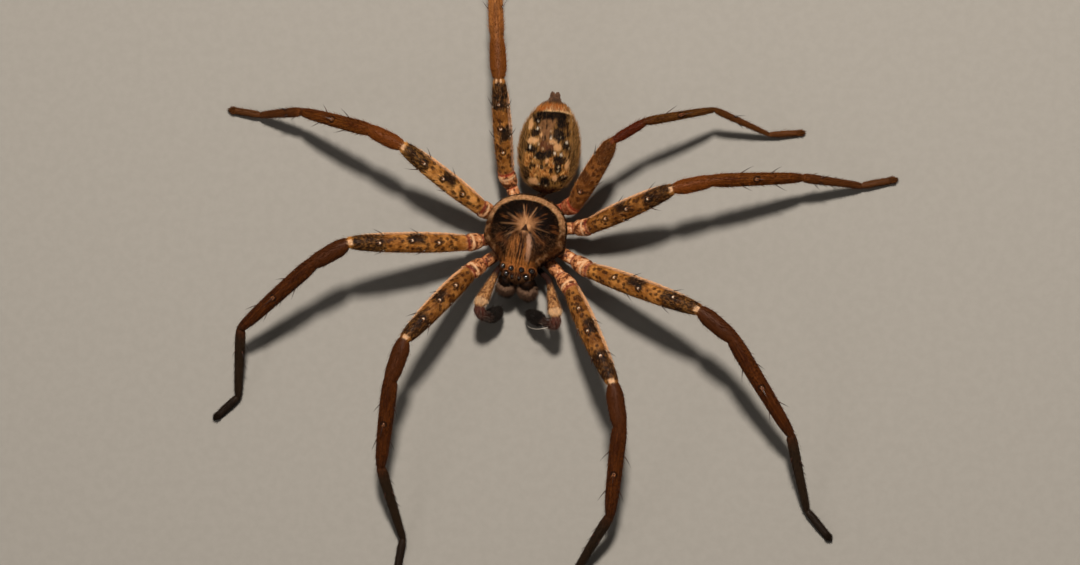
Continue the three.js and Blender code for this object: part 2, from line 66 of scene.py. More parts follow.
# How far each skin lies inside its solid, to leave room for its coat
COAT_DEPTH = {
    "leg": 0.14,
    "palp": 0.1,
    "abdomen": 0.18,
    "carapace": 0.08,
    "jaw": 0.1,
    "underside": 0.05,
    "waist": 0.02,
    "finger": 0.01,
}

# Small forms that the scene adds
SHELL_PIT = {"ahead": -1.4, "left": 0.1, "depth": 0.34, "long": 0.55, "wide": 0.2}
SHELL_FURROWS = {"count": 7, "depth": 0.07}
SHELL_GROOVE = {"depth": 0.16, "wide": 0.26, "left": 1.15, "spread": 0.45}
EYE_RIM = {"height": 0.09, "wide": 0.09, "off": 0.05}
WRINKLES = {"height": 0.025, "pace": 46, "sway": 1.5}
FLANK = {"ahead": -0.3, "half": 4.4, "width": 3.75, "low": 3.3, "high": 5.3}
FLOOR_CLEARANCE = 0.02

# Eyes as ahead, left and half-width, each with its twin on the right.
EYES = {
    "front_middle": (4.72, 0.42, 0.2),
    "front_side": (4.5, 1.2, 0.3),
    "rear_middle": (3.83, 0.62, 0.24),
    "rear_side": (3.72, 1.75, 0.28),
}

# A leg has its hip, the length and compass heading of femur, patella, tibia, metatarsus and tarsus,
# the height of every joint from hip to toe, and how stout femur, tibia, metatarsus and tarsus are.
LEGS = {
    "left_1": {
        "hip": (2.73, -8.2),
        "length": (14.3, 5.1, 11.9, 10.2, 4.0),
        "heading": (-64.2, -81.1, -98.7, -123.2, -116.5),
        "height": (4.9, 11.4, 11.0, 5.8, 0.95, 0.42),
        "stout": (1, 1, 1, 1),
    },
    "left_2": {
        "hip": (4.9, -5.93),
        "length": (15.7, 5.1, 14.0, 10.3, 4.4),
        "heading": (-20.8, -40.6, -59.5, -78.8, -51.9),
        "height": (4.9, 11.0, 10.6, 5.6, 0.95, 0.42),
        "stout": (1, 1, 1, 1),
    },
    "left_3": {
        "hip": (4.9, -0.76),
        "length": (12.3, 4.6, 11.6, 8.1, 4.2),
        "heading": (21.3, 11.8, 3.6, -5.5, 10.3),
        "height": (4.9, 10.0, 9.7, 5.0, 0.95, 0.42),
        "stout": (0.97, 0.88, 0.9, 0.9),
    },
    "left_4": {
        "hip": (3.1, 1.9),
        "length": (10.1, 4.4, 9.2, 8.2, 4.1),
        "heading": (54.6, 30.6, 12.7, -22.2, 3.6),
        "height": (4.9, 9.8, 9.6, 5.4, 0.95, 0.42),
        "stout": (0.97, 0.6, 0.68, 0.78),
    },
    "right_1": {
        "hip": (-9.48, -6.08),
        "length": (12.8, 5.1, 11.8, 10.2, 4.3),
        "heading": (-129.6, -110.4, -101.1, -77.4, -101.1),
        "height": (4.9, 11.8, 11.2, 5.8, 0.95, 0.42),
        "stout": (1, 1, 1, 1),
    },
    "right_2": {
        "hip": (-9.85, -2.58),
        "length": (14.8, 4.9, 13.4, 9.5, 3.9),
        "heading": (-178.6, -151.4, -142.4, -99.0, -138.1),
        "height": (4.9, 11.2, 10.8, 5.6, 0.95, 0.42),
        "stout": (1, 1, 1, 1),
    },
    "right_3": {
        "hip": (-8.15, 1.63),
        "length": (12.5, 4.5, 10.8, 7.1, 4.0),
        "heading": (141.3, 153.0, 163.0, 178.7, 169.4),
        "height": (4.9, 10.4, 9.9, 5.0, 0.95, 0.42),
        "stout": (0.97, 0.9, 0.92, 0.92),
    },
    "right_4": {
        "hip": (-5.12, 5.83),
        "length": (12.1, 5.0, 12.2, 11.0, 4.0),
        "heading": (91.0, 93.2, 94.9, 99.5, 105.5),
        "height": (4.9, 10.6, 10.3, 5.4, 0.95, 0.42),
        "stout": (0.92, 0.95, 0.95, 0.95),
    },
}
REGROWN = "left_4"

# A palp has its hip, then femur, patella, tibia and tarsus.
PALPS = {
    "left": {
        "hip": (0.03, -7.14),
        "length": (5.1, 1.11, 2.28, 3.89),
        "heading": (-76.7, -98.1, 162.1, 152.4),
        "height": (4.4, 6.6, 6.1, 4.5, 1.6),
    },
    "right": {
        "hip": (-6.28, -5.9),
        "length": (5.37, 1.07, 1.96, 3.26),
        "heading": (-113.4, -85.7, -24.0, 47.7),
        "height": (4.1, 6.6, 6.1, 4.4, 1.5),
    },
}

# Stations of a leg count its joints: coxa 0 to 1, trochanter to 2, femur to 3, patella to 4, tibia to 5,
# metatarsus to 6 and tarsus to 7. Each row is a station, a half-width and a half-height.
LEG_GIRTH = [
    (0.0, 0.6, 0.66), (0.5, 0.84, 0.84), (0.92, 0.86, 0.84),
    (1.35, 1.1, 1.0), (1.9, 1.2, 1.1), (2.05, 1.1, 1.04),
    (2.18, 1.22, 1.22), (2.4, 1.3, 1.32), (2.66, 1.24, 1.22), (2.9, 1.04, 1.02), (3.0, 0.86, 0.86),
    (3.3, 1.12, 1.08), (3.75, 1.08, 1.05), (4.0, 0.94, 0.94),
    (4.14, 1.04, 1.04), (4.5, 0.98, 0.98), (4.86, 0.84, 0.84), (5.0, 0.68, 0.68),
    (5.14, 0.74, 0.72), (5.55, 0.64, 0.6), (5.92, 0.56, 0.5), (6.0, 0.5, 0.46),
    (6.25, 0.56, 0.54), (6.7, 0.56, 0.56), (6.92, 0.44, 0.48), (7.0, 0.22, 0.3),
]
LEG_BOWS = (0, 0, 0.35, 0, 0.25, 0.15, 0)
LEG_NOTCHES = {1: 0.04, 2: 0.08, 3: 0.14, 4: 0.06, 5: 0.14, 6: 0.1}

# Stations of a palp: root 0 to 1, femur to 2, patella to 3, tibia to 4, tarsus to 5.
PALP_GIRTH = [
    (0.0, 0.4, 0.42), (0.9, 0.42, 0.42), (1.12, 0.48, 0.46), (1.5, 0.68, 0.6), (1.85, 0.88, 0.76),
    (2.0, 0.7, 0.61), (2.5, 0.74, 0.68), (3.0, 0.66, 0.66), (3.42, 0.7, 0.7), (4.0, 0.6, 0.6),
    (4.3, 0.86, 0.8), (4.65, 0.78, 0.72), (4.9, 0.46, 0.44), (5.0, 0.16, 0.16),
]
PALP_NOTCHES = {2: 0.14, 3: 0.1, 4: 0.12}

# Spines of a leg: station, angle round it from its right side (90 is the top) and length.
LEG_SPINES = [
    (2.26, 90, 1.7), (2.5, 84, 1.8), (2.76, 96, 1.7),
    (2.42, 22, 1.7), (2.72, 18, 1.8), (2.4, 158, 1.7), (2.74, 162, 1.8),
    (4.3, 8, 1.9), (4.68, 4, 1.9), (4.3, 172, 1.9), (4.68, 176, 1.9),
    (4.16, -58, 1.8), (4.16, -122, 1.8), (4.5, -58, 1.8), (4.5, -122, 1.8), (4.48, 88, 1.6),
    (5.2, -40, 1.6), (5.2, -140, 1.6), (5.5, -30, 1.5), (5.5, -150, 1.5), (5.3, 40, 1.4), (5.32, 140, 1.4),
]
SPINE = {"half": 0.062, "sides": 7, "sunk": 0.25, "lean": 52.0, "curl": 26.0}
SOCKET = {"half": 0.17, "rise": 0.8, "sunk": 0.5, "sides": 12, "small_ring": 0.2}
CLAW = {"station": 6.97, "aimed_at": 6.9, "length": 0.75, "half": 0.07, "apart": 0.12, "drop": 0.1}
CLAW_AIM = {"splay": 0.25, "climb": 0.1}

# Stiff bristles of a palp, as station and angle round it, and one long pale one on the left palp.
PALP_BRISTLES = [(2.3, 100), (3.4, 60), (3.6, 130), (4.3, 90), (4.45, 30), (4.5, 150), (4.7, 95)]
PALP_BRISTLE = {"length": 1.1, "half": 0.05, "forward": 0.8}
LONG_BRISTLE = {"station": 3.3, "angle": 140, "length": 3.9, "half": 0.032, "curl": 75.0, "forward": 0.7}

# The camera looks down on the back, a little from the left and from ahead.
CAMERA = {"target": (-0.9964, -7.4007, 5.0), "distance": 360.0, "east": 6.0, "ahead": 3.0}
LENS = 100.0
SENSOR = 36.0
FLOOR_HALF = 700.0
WARM_WHITE = (1.0, 0.95, 0.88)

# Rows of a limb's form between two joints, how far a notch reaches along it and its least half-size
LIMB_ROWS = 70
NOTCH_REACH = 0.22
LEAST_HALF = 0.05


def compass(heading):
    return np.array([math.cos(math.radians(heading)), math.sin(math.radians(heading)), 0.0])


AHEAD = compass(FRONT_BODY["heading"])
LEFT = compass(FRONT_BODY["heading"] + 90)
ABDOMEN_AXIS = compass(ABDOMEN["heading"])
ABDOMEN_SIDE = compass(ABDOMEN["heading"] - 90)


def unit(vectors):
    return vectors / np.maximum(np.linalg.norm(vectors, axis=-1, keepdims=True), 1e-9)


def smooth(low, high, x):
    share = np.clip((x - low) / (high - low), 0, 1)
    return share * share * (3 - 2 * share)


def band(low, high, soft, x):
    return smooth(low - soft, low + soft, x) - smooth(high - soft, high + soft, x)


def peak(x):
    """1 where x is 0, falling off on both sides."""
    return np.exp(-(x**2))


def on_body(ahead, left, height):
    """Places on the body, from the distance ahead of its middle, the distance left and the height."""
    flat = np.array([*FRONT_BODY["at"], 0.0])
    ahead, left, height = np.broadcast_arrays(ahead, left, height)
    return flat + ahead[..., None] * AHEAD + left[..., None] * LEFT + height[..., None] * UP


def off_body(points):
    """How far ahead and left of the middle of the front body some points are."""
    offset = points - np.array([*FRONT_BODY["at"], 0.0])
    return offset @ AHEAD, offset @ LEFT


class Form:
    """A closed surface over a row of oval rings.

    A station names a ring. The angle round it starts on its right side, and a quarter turn is its top.
    """

    def __init__(self, station, at, along, up, half, rise, drop=None):
        self.station = np.asarray(station, float)
        along, up = np.broadcast_to(along, at.shape), np.broadcast_to(up, at.shape)
        across = unit(np.cross(along, up))
        drop = rise if drop is None else drop
        self.table = np.column_stack([at, across, np.cross(across, along), half, rise, drop])
        self.step = (self.station[-1] - self.station[0]) / 2000
        self.relief = None

    def plain(self, station, angle):
        row = np.stack([np.interp(station, self.station, column) for column in self.table.T], axis=-1)
        side = np.cos(angle) * row[..., 9]
        top = np.sin(angle)
        tall = np.where(top > 0, row[..., 10], row[..., 11]) * top
        return row[..., 0:3] + row[..., 3:6] * side[..., None] + row[..., 6:9] * tall[..., None]

    def frame(self, station, angle):
        """The direction towards the next rings, the one round the ring, and the one that faces out."""
        onward = self.plain(station + self.step, angle) - self.plain(station - self.step, angle)
        around = self.plain(station, angle + 0.01) - self.plain(station, angle - 0.01)
        onward, around = unit(onward), unit(around)
        return onward, around, unit(np.cross(onward, around))

    def point(self, station, angle):
        base = self.plain(station, angle)
        if self.relief is None:
            return base
        return base + self.frame(station, angle)[2] * self.relief(base, station, angle)[..., None]

    def share(self, station):
        return (station - self.station[0]) / (self.station[-1] - self.station[0])

    def rings(self, stations, sides):
        """Vertices of some rings and of the middles of both ends, with their stations and angles."""
        turn = 2 * np.pi * np.arange(sides) / sides
        station, angle = (grid.ravel() for grid in np.meshgrid(stations, turn, indexing="ij"))
        rings = self.point(station, angle)
        ends = [rings[:sides].mean(axis=0), rings[-sides:].mean(axis=0)]
        station = np.append(station, [stations[0], stations[-1]])
        angle = np.append(angle, [np.pi / 2, np.pi / 2])
        return np.vstack([rings, ends]), station, angle


def limb_frame(joints, stations, before, after, bows, facing):
    """Middle, run and top direction at each station of a limb that bends half way at each joint."""
    runs = unit(np.diff(joints, axis=0))
    around = np.vstack([runs[0] if before is None else before, runs, runs[-1] if after is None else after])
    turns = unit(around[1:] + around[:-1])
    stretch = np.clip(stations.astype(int), 0, len(runs) - 1)
    share = stations - stretch
    blend = 0.3
    early = (1 - smooth(0, blend, share))[:, None]
    late = smooth(1 - blend, 1, share)[:, None]
    run = runs[stretch]
    along = run + early * (turns[stretch] - run) + late * (turns[stretch + 1] - run)
    along = unit(along)
    across = unit(np.cross(along, facing))
    up = np.cross(across, along)
    at = joints[stretch] * (1 - share)[:, None] + joints[stretch + 1] * share[:, None]
    bow = np.asarray(bows, float)[stretch] * 4 * share * (1 - share)
    return at + up * bow[:, None], along, up


def eased(stations, table):
    """Girths between the rows of a table, without overshoot: a slope is a mean of those beside it."""
    rows = np.array(table, float)
    x, values = rows[:, 0], rows[:, 1:]
    rise = np.diff(values, axis=0) / np.diff(x)[:, None]
    before, after = rise[:-1], rise[1:]
    total = np.where(before + after == 0, 1, before + after)
    mean = np.where(before * after > 0, 2 * before * after / total, 0)
    slope = np.vstack([rise[:1], mean, rise[-1:]])
    place = np.clip(np.searchsorted(x, stations, side="right") - 1, 0, len(x) - 2)
    gap = (x[place + 1] - x[place])[:, None]
    t = ((stations - x[place]) / gap[:, 0])[:, None]
    start = values[place] * (1 + 2 * t) * (1 - t) ** 2 + slope[place] * gap * t * (1 - t) ** 2
    end = values[place + 1] * t * t * (3 - 2 * t) + slope[place + 1] * gap * t * t * (t - 1)
    return start + end


def limb(joints, girth, depth, before=None, after=None, bows=None, facing=UP, notches=None, stout=None):
    """A limb's form, lying inside its solid by the depth of its coat."""
    joints = np.asarray(joints, float)
    count = len(joints) - 1
    stations = np.linspace(0, count, count * LIMB_ROWS + 1)
    at, along, up = limb_frame(joints, stations, before, after, bows or [0] * count, facing)
    sizes = eased(stations, girth)
    if stout is not None:
        sizes = sizes * np.interp(stations, *stout)[:, None]
    lengths = np.linalg.norm(np.diff(joints, axis=0), axis=1)
    stretch = np.clip(stations.astype(int), 0, count - 1)
    for joint, cut in (notches or {}).items():
        away = (stations - joint) * lengths[stretch]
        sizes = sizes * (1 - cut * peak(away / NOTCH_REACH))[:, None]
    sizes = np.maximum(sizes - depth, LEAST_HALF)
    return Form(stations, at, along, up, sizes[:, 0], sizes[:, 1])


# Colours and materials


def paint(red, green, blue):
    """A colour as the eye reads it, 0 to 255, turned into the linear one that a shader takes."""
    parts = [value / 255 for value in (red, green, blue)]
    linear = [part / 12.92 if part <= 0.04045 else ((part + 0.055) / 1.055) ** 2.4 for part in parts]
    return (*linear, 1.0)


class Ink:
    """A value on its way through a material. Arithmetic on it adds the Math node that works it out."""

    def __init__(self, look, socket):
        self.look = look
        self.socket = socket

    def __add__(self, other):
        return self.look.maths("ADD", self, other)

    def __sub__(self, other):
        return self.look.maths("SUBTRACT", self, other)

    def __rsub__(self, other):
        return self.look.maths("SUBTRACT", other, self)

    def __mul__(self, other):
        return self.look.maths("MULTIPLY", self, other)

    def __truediv__(self, other):
        return self.look.maths("DIVIDE", self, other)

    def __rtruediv__(self, other):
        return self.look.maths("DIVIDE", other, self)

    def __pow__(self, other):
        return self.look.maths("POWER", self, other)

    def __abs__(self):
        return self.look.maths("ABSOLUTE", self)

    def __or__(self, other):
        """The larger of the two."""
        return self.look.maths("MAXIMUM", self, other)

    __radd__ = __add__
    __rmul__ = __mul__
    __ror__ = __or__


class Look:
    """One finish. What changes over the surface is worked out with Ink, and what doesn't is set once."""

    def __init__(self, name, constants):
        self.material = bpy.data.materials.new(name)
        self.material.use_nodes = True
        self.tree = self.material.node_tree
        self.shader = self.tree.nodes["Principled BSDF"]
        for socket, value in constants.items():
            self.shader.inputs[socket].default_value = value

    def node(self, kind, settings=None, inputs=None, output=0):
        made = self.tree.nodes.new("ShaderNode" + kind)
        for setting, value in (settings or {}).items():
            setattr(made, setting, value)
        for socket, value in (inputs or {}).items():
            self.put(made.inputs[socket], value)
        return Ink(self, made.outputs[output])

    def put(self, socket, value):
        if isinstance(value, Ink):
            self.tree.links.new(value.socket, socket)
        else:
            socket.default_value = value

    def maths(self, operation, *values):
        return self.node("Math", {"operation": operation}, dict(enumerate(values)))

    def value(self, name):
        """A number that every vertex of the mesh carries under this name."""
        return self.node("Attribute", {"attribute_name": name}, output=2)

    def vector(self, name):
        return self.node("Attribute", {"attribute_name": name}, output=1)

    def parts(self, name):
        whole = self.vector(name)
        return [self.node("SeparateXYZ", inputs={0: whole}, output=axis) for axis in range(3)]

    def combine(self, x, y, z=0.0):
        return self.node("CombineXYZ", inputs={0: x, 1: y, 2: z})

    def ramp(self, value, low, high):
        """0 below low, 1 above high and smooth between; the other way round where low is the higher."""
        return self.node("MapRange", {"interpolation_type": "SMOOTHSTEP"}, {0: value, 1: low, 2: high})

    def strip(self, value, low, high, soft):
        return self.ramp(value, low - soft, low + soft) * self.ramp(value, high + soft, high - soft)

    def noise(self, vector, scale, detail=2.0, rough=0.5):
        sockets = {"Vector": vector, "Scale": scale, "Detail": detail, "Roughness": rough}
        return self.node("TexNoise", inputs=sockets)

    def cells(self, vector, scale):
        """The distance to the nearest of a crowd of scattered points."""
        return self.node("TexVoronoi", inputs={"Vector": vector, "Scale": scale})

    def mix(self, share, first, second):
        return self.node("Mix", {"data_type": "RGBA"}, {0: share, 6: first, 7: second}, output=2)

    def shaded(self, colour, share):
        """A colour made lighter or darker by a share that changes over the surface."""
        return self.node("VectorMath", {"operation": "SCALE"}, {0: colour, "Scale": share})

    def finish(self, colour, roughness, height=None, depth=0.03):
        """Ends the look. Height gives a bump of this depth in millimetres."""
        self.put(self.shader.inputs["Base Color"], colour)
        self.put(self.shader.inputs["Roughness"], roughness)
        if height is not None:
            relief = {"Strength": 1.0, "Distance": depth * METRES, "Height": height}
            self.put(self.shader.inputs["Normal"], self.node("Bump", inputs=relief))
        return self.material


SKIN = {"Specular IOR Level": 0.16}
HAIR = {"Specular IOR Level": 0.025}

PALE_HAIR = paint(222, 168, 120)
SOOT = paint(24, 17, 13)
BLACK = paint(15, 10, 8)


def furred(look, colour, pale):
    """The colour of a hair: each one a little lighter or darker, and paler towards its tip."""
    tone = look.value("tone")
    coloured = look.mix(look.value("pale"), colour, pale)
    return look.shaded(coloured, 0.76 + tone * 0.34 + look.value("tip") * 0.16)


def skin_look(name, marks, depth=0.03):
    """Bare skin with the markings and a fine bump."""
    look = Look("skin_" + name, SKIN)
    colour, grain = marks(look)
    pores = look.noise(look.vector("root"), 14.0, 3.0, 0.6)
    return look.finish(look.shaded(colour, 0.8), roughness=0.38 + grain * 0.3, height=pores, depth=depth)


def coat_look(name, marks, pale):
    """Hairs with the same markings as the skin that they grow from."""
    look = Look("coat_" + name, HAIR)
    colour, grain = marks(look)
    return look.finish(furred(look, colour, pale), roughness=0.4 + grain * 0.2)


def furry_looks(name, marks, pale, depth=0.03):
    return skin_look(name, marks, depth), coat_look(name, marks, pale)


# Markings of the legs

LEG_TINTS = {
    "thigh": paint(138, 83, 31),
    "thigh_pale": paint(194, 130, 62),
    "mark": paint(56, 27, 10),
    "saddle": paint(36, 20, 10),
    # edge is the pale line along a thigh's lit side: painted sheen of lit hairs
    "edge": paint(204, 158, 126),
    "edge_share": 0.8,
    "hip": paint(196, 128, 80),
    "hip_mark": paint(92, 46, 24),
    "joint": paint(116, 40, 24),
    "knee": paint(76, 38, 14),
    "shin": paint(64, 28, 7),
    "shin_pale": paint(94, 48, 15),
    "patch": paint(232, 186, 142),
    "patch_split": 0,
    "foot": paint(46, 32, 20),
    "toe": paint(38, 27, 19),
}

# What some legs have otherwise. A later row counts for more.
OTHER_TINTS = [
    (("left_1", "right_1"), {"thigh": paint(114, 67, 25), "thigh_pale": paint(162, 106, 50)}),
    (("left_3", "left_4", "right_3", "right_4"), {
        "thigh": paint(120, 71, 26),
        "thigh_pale": paint(170, 112, 53),
        "knee": paint(116, 60, 20),
        "shin": paint(84, 39, 10),
        "shin_pale": paint(122, 68, 22),
        "foot": paint(92, 50, 20),
        "toe": paint(94, 55, 26),
    }),
    (("right_3",), {"thigh": paint(156, 100, 42), "thigh_pale": paint(214, 152, 82)}),
    (("right_4",), {
        "joint": paint(150, 40, 24),
        "saddle": paint(26, 18, 13),
        "knee": paint(110, 60, 20),
        "shin": paint(122, 70, 30),
        "shin_pale": paint(170, 108, 56),
        "patch_split": 0.25,
    }),
    ((REGROWN,), {
        "thigh": paint(106, 60, 24),
        "thigh_pale": paint(146, 90, 42),
        "mark": paint(74, 38, 15),
        "saddle": paint(84, 46, 19),
        "edge_share": 0,
        "hip": paint(180, 106, 68),
        "hip_mark": paint(136, 66, 38),
        "joint": paint(150, 40, 24),
        "knee": paint(86, 34, 14),
        "shin": paint(76, 42, 15),
        "shin_pale": paint(110, 68, 27),
        "foot": paint(100, 57, 24),
        "toe": paint(104, 60, 28),
        "patch": paint(124, 62, 34),
    }),
]


def tints_of(name):
    tints = dict(LEG_TINTS)
    for legs, changes in OTHER_TINTS:
        if name in legs:
            tints.update(changes)
    return tints


def thigh_marks(look, tints, at):
    """Dark dots on ochre, a saddle half way, one at the knee, an underside darkened as painted shade, and a
    pale line of painted sheen along the lit upper edge.
    """
    ground = look.mix(look.ramp(at.drift, -0.12, 0.14), tints["thigh"], tints["thigh_pale"])
    ground = look.shaded(ground, 0.8 + at.fine * 0.4)
    dots = look.ramp(look.cells(at.root, 1.6) + (at.fine - 0.5) * 0.45, 0.46, 0.34)
    middle_saddle = look.strip(at.ragged, 2.385, 2.53, 0.02) * look.ramp(at.rear + at.drift, -0.4, 0.1)
    knee_saddle = look.strip(at.ragged, 2.7, 2.965, 0.02) * (0.6 + look.ramp(at.fine, 0.62, 0.42) * 0.4)
    saddle = (middle_saddle | knee_saddle) * look.ramp(at.top + at.drift, -0.5, 0.1)
    thigh = look.mix(dots * 0.85, ground, tints["mark"])
    thigh = look.mix(saddle * 0.95, thigh, tints["saddle"])
    # The underside darkened towards the mark colour: painted shade
    thigh = look.mix(look.ramp(at.top, -0.1, -0.8) * 0.6, thigh, tints["mark"])
    # A pale line along the lit upper edge: painted sheen of lit hairs
    edge = look.ramp(at.rear, 0.68, 0.9) * look.strip(at.top, -0.1, 0.55, 0.12)
    edge = edge * look.strip(at.station, 2.04, 2.78, 0.06) * look.ramp(at.fine, 0.38, 0.55)
    return look.mix(edge * tints["edge_share"], thigh, tints["edge"])


def hip_marks(look, tints, at):
    """Pale pink-brown rings with red-brown blotches and red seams between them."""
    blotch = look.noise(at.root, 1.5, 3.0, 0.6)
    hip = look.mix(look.ramp(blotch, 0.49, 0.57), tints["hip"], tints["hip_mark"])
    hip = look.mix(look.ramp(at.fine, 0.56, 0.66) * 0.8, hip, tints["hip_mark"])
    pale = look.ramp(blotch, 0.43, 0.36) | look.strip(at.station + (at.fine - 0.5) * 0.1, 1.7, 1.82, 0.03)
    hip = look.mix(pale * look.ramp(at.top, 0.0, 0.6) * 0.8, hip, tints["patch"])
    seam = look.strip(at.station, 0.97, 1.03, 0.015) | look.strip(at.station, 1.95, 2.015, 0.01)
    return look.mix(seam * 0.8, hip, tints["joint"])


def shin_marks(look, tints, at):
    """Knee and shin, streaked along their length."""
    streak = look.noise(look.combine(at.station * 2.2, at.side * 2.4, at.top * 2.4), 1.7, 3.0)
    shin = look.mix(look.ramp(streak, 0.36, 0.66), tints["shin"], tints["shin_pale"])
    shin = look.mix(look.ramp(at.drift, -0.02, 0.2) * 0.4, shin, tints["mark"])
    knee = look.mix(look.ramp(at.station, 3.75, 4.2), tints["knee"], shin)
    return look.shaded(knee, 0.75 + at.fine * 0.5)


def leg_marks(look, tints, rear_side):
    """Spotted thighs with two saddles, red-brown shins, dark feet and rings round the spines."""
    station, side, top = look.parts("place")
    root = look.vector("root")
    drift = look.noise(root, 0.8, 2.0) - 0.5
    fine = look.noise(root, 3.4, 3.0, 0.65)
    ragged = station + drift * 0.1 + (fine - 0.5) * 0.07
    at = SimpleNamespace(station=station, side=side, top=top, rear=side * rear_side, ragged=ragged)
    at.root, at.drift, at.fine = root, drift, fine
    hip, thigh, shin = (marks(look, tints, at) for marks in (hip_marks, thigh_marks, shin_marks))
    colour = look.mix(look.ramp(station, 2.005, 2.04), hip, thigh)
    colour = look.mix(look.ramp(station, 2.995, 3.015), colour, shin)

    split = tints["patch_split"]
    if split:
        across = look.strip(abs(side), split, split + 0.35, 0.08) * look.ramp(top, 0, 0.3)
    else:
        across = look.ramp(top, 0.8, 0.92)
    colour = look.mix(look.strip(station, 2.965, 3.004, 0.008) * across, colour, tints["patch"])
    colour = look.mix(look.ramp(ragged, 4.85, 5.2), colour, tints["foot"])
    colour = look.mix(look.ramp(ragged, 5.7, 6.4), colour, tints["toe"])

    spot = look.value("spot")
    colour = look.mix(look.strip(spot, 0.24, 0.46, 0.05) * 0.85, colour, SOOT)
    return look.mix(look.ramp(spot, 0.26, 0.16) * 0.8, colour, tints["hip"]), fine


# Markings of the carapace

# Pale arms that run from the pit: where each ends ahead and left, its half-width and its strength.
PIT = (-1.55, 0.15)
ARMS = [
    (-3.85, -0.62, 0.11, 1.0), (-3.8, 0.98, 0.11, 1.0), (-2.6, -2.3, 0.18, 0.6), (-1.25, -2.9, 0.15, 0.75),
    (0.2, -2.1, 0.13, 0.7), (-2.3, 2.0, 0.12, 0.6), (-1.1, 3.2, 0.11, 0.6),
]
KEEL_LEFTS = (-0.07, 0.27)


def star_marks(look, at):
    """A mottled brown ground, a black crescent behind, and the pale sun and arms round the pit."""
    mottle = look.noise(at.root, 0.75, 3.0, 0.6)
    colour = look.mix(look.ramp(mottle, 0.47, 0.62), paint(38, 21, 9), paint(98, 56, 28))
    rays = look.ramp(at.ray, 0.52, 0.66) * look.ramp(at.off, 4.0, 2.0)
    colour = look.mix(rays * 0.6, colour, paint(134, 84, 46))
    behind = look.ramp(at.ahead + at.coarse * 1.2 + (at.ray - 0.5) * 1.6, 0.5, -0.6)
    black = behind * look.ramp(at.ray + at.coarse * 0.3, 0.66, 0.54)
    colour = look.mix(black * 0.96, colour, paint(19, 10, 5))
    sun = look.ramp(at.off + (0.5 - at.ray) * 1.9 - abs(at.across) * 0.3 + at.along * 0.12, 1.3, 0.7)
    sunny = look.mix(look.ramp(at.off, 0.5, 1.3), paint(186, 134, 90), paint(128, 80, 45))
    colour = look.mix(sun * 0.95, colour, sunny)
    for end_ahead, end_left, half, strength in ARMS:
        reach = math.hypot(end_ahead - PIT[0], end_left - PIT[1])
        way = ((end_ahead - PIT[0]) / reach, (end_left - PIT[1]) / reach)
        onward = at.along * way[0] + at.across * way[1]
        aside = abs(at.along * way[1] - at.across * way[0]) + (at.fine - 0.5) * 0.16
        arm = look.ramp(aside, half, half * 0.4) * look.strip(onward, 0.5, reach, 0.2)
        colour = look.mix(arm * (strength - onward * 0.16), colour, paint(184, 134, 92))
    return colour


def head_marks(look, colour, at):
    """Orange-brown streaks along the head, one pale streak that is part pale hair and part painted sheen,
    two dark keel lines and an ochre brow.
    """
    ahead, left = at.ahead, at.left
    lines = look.noise(look.combine(left * 3.4, ahead * 0.35), 1.6, 3.0, 0.6)
    head = look.ramp(abs(left + 0.12) + at.coarse * 0.5 - ahead * 0.12, 1.4, 0.9)
    tint = look.mix(look.ramp(lines, 0.4, 0.6), paint(72, 37, 14), paint(166, 104, 52))
    colour = look.mix(look.ramp(ahead, -0.8, 0.3) * head * 0.95, colour, tint)
    # One pale streak on the head's left side: part pale hair, part painted sheen
    sheen_streak_at = 0.78 + look.ramp(ahead, -0.6, 1.2) * 0.3
    streak = look.ramp(abs(left - sheen_streak_at) + abs(lines - 0.5) * 1.6 + (at.fine - 0.5) * 0.2, 0.5, 0.2)
    streak = streak * look.strip(ahead, -0.5, 2.9, 0.35) * look.ramp(ahead, 4.5, 0.2)
    colour = look.mix(streak * 0.95, colour, paint(192, 148, 118))
    for keel_left in KEEL_LEFTS:
        keel = look.ramp(abs(left - keel_left) + (at.fine - 0.5) * 0.06, 0.13, 0.06)
        colour = look.mix(keel * look.strip(ahead, -0.3, 3.2, 0.3) * 0.95, colour, paint(30, 13, 6))
    dusk = look.strip(left + at.coarse * 0.6, 1.35, 2.3, 0.25) * look.strip(ahead, 0.9, 3.2, 0.4)
    colour = look.mix(dusk * 0.6, colour, paint(26, 14, 6))
    brow = look.strip(ahead + at.coarse * 0.5, 2.6, 4.2, 0.3) * look.ramp(abs(left), 2.2, 1.9)
    brow = brow * look.ramp(lines + at.fine * 0.4, 0.54, 0.74)
    return look.mix(brow * 0.85, colour, paint(176, 108, 50))


def hem_marks(look, colour, at, edge):
    """A cream band inside the shell's edge, whole behind and broken ahead, and a black edge that is partly
    the dark rim and partly painted shadow.
    """
    hem = edge + (at.fine - 0.5) * 0.25 + at.coarse * 0.3
    rear = look.ramp(at.ahead + at.coarse, -1.0, -2.2)
    flecks = look.ramp(look.noise(at.root, 0.9, 2.0), 0.5, 0.58) * look.ramp(at.ahead, 3.0, 2.0)
    warm = look.strip(hem, 0.2, 1.0, 0.2) * (1 - rear)
    colour = look.mix(warm * 0.6, colour, paint(100, 56, 24))
    cream = look.strip(hem, 0.16, 0.84, 0.08) * (rear | flecks * 0.55)
    hem_tint = look.mix(look.ramp(at.fine, 0.35, 0.62), paint(158, 108, 62), paint(228, 178, 130))
    colour = look.mix(cream * 0.97, colour, hem_tint)
    # The black edge: partly the shell's dark rim, partly painted shadow under the overhanging shell
    return look.mix(look.ramp(edge, 0.26, 0.18) * 0.97, colour, paint(16, 8, 5))


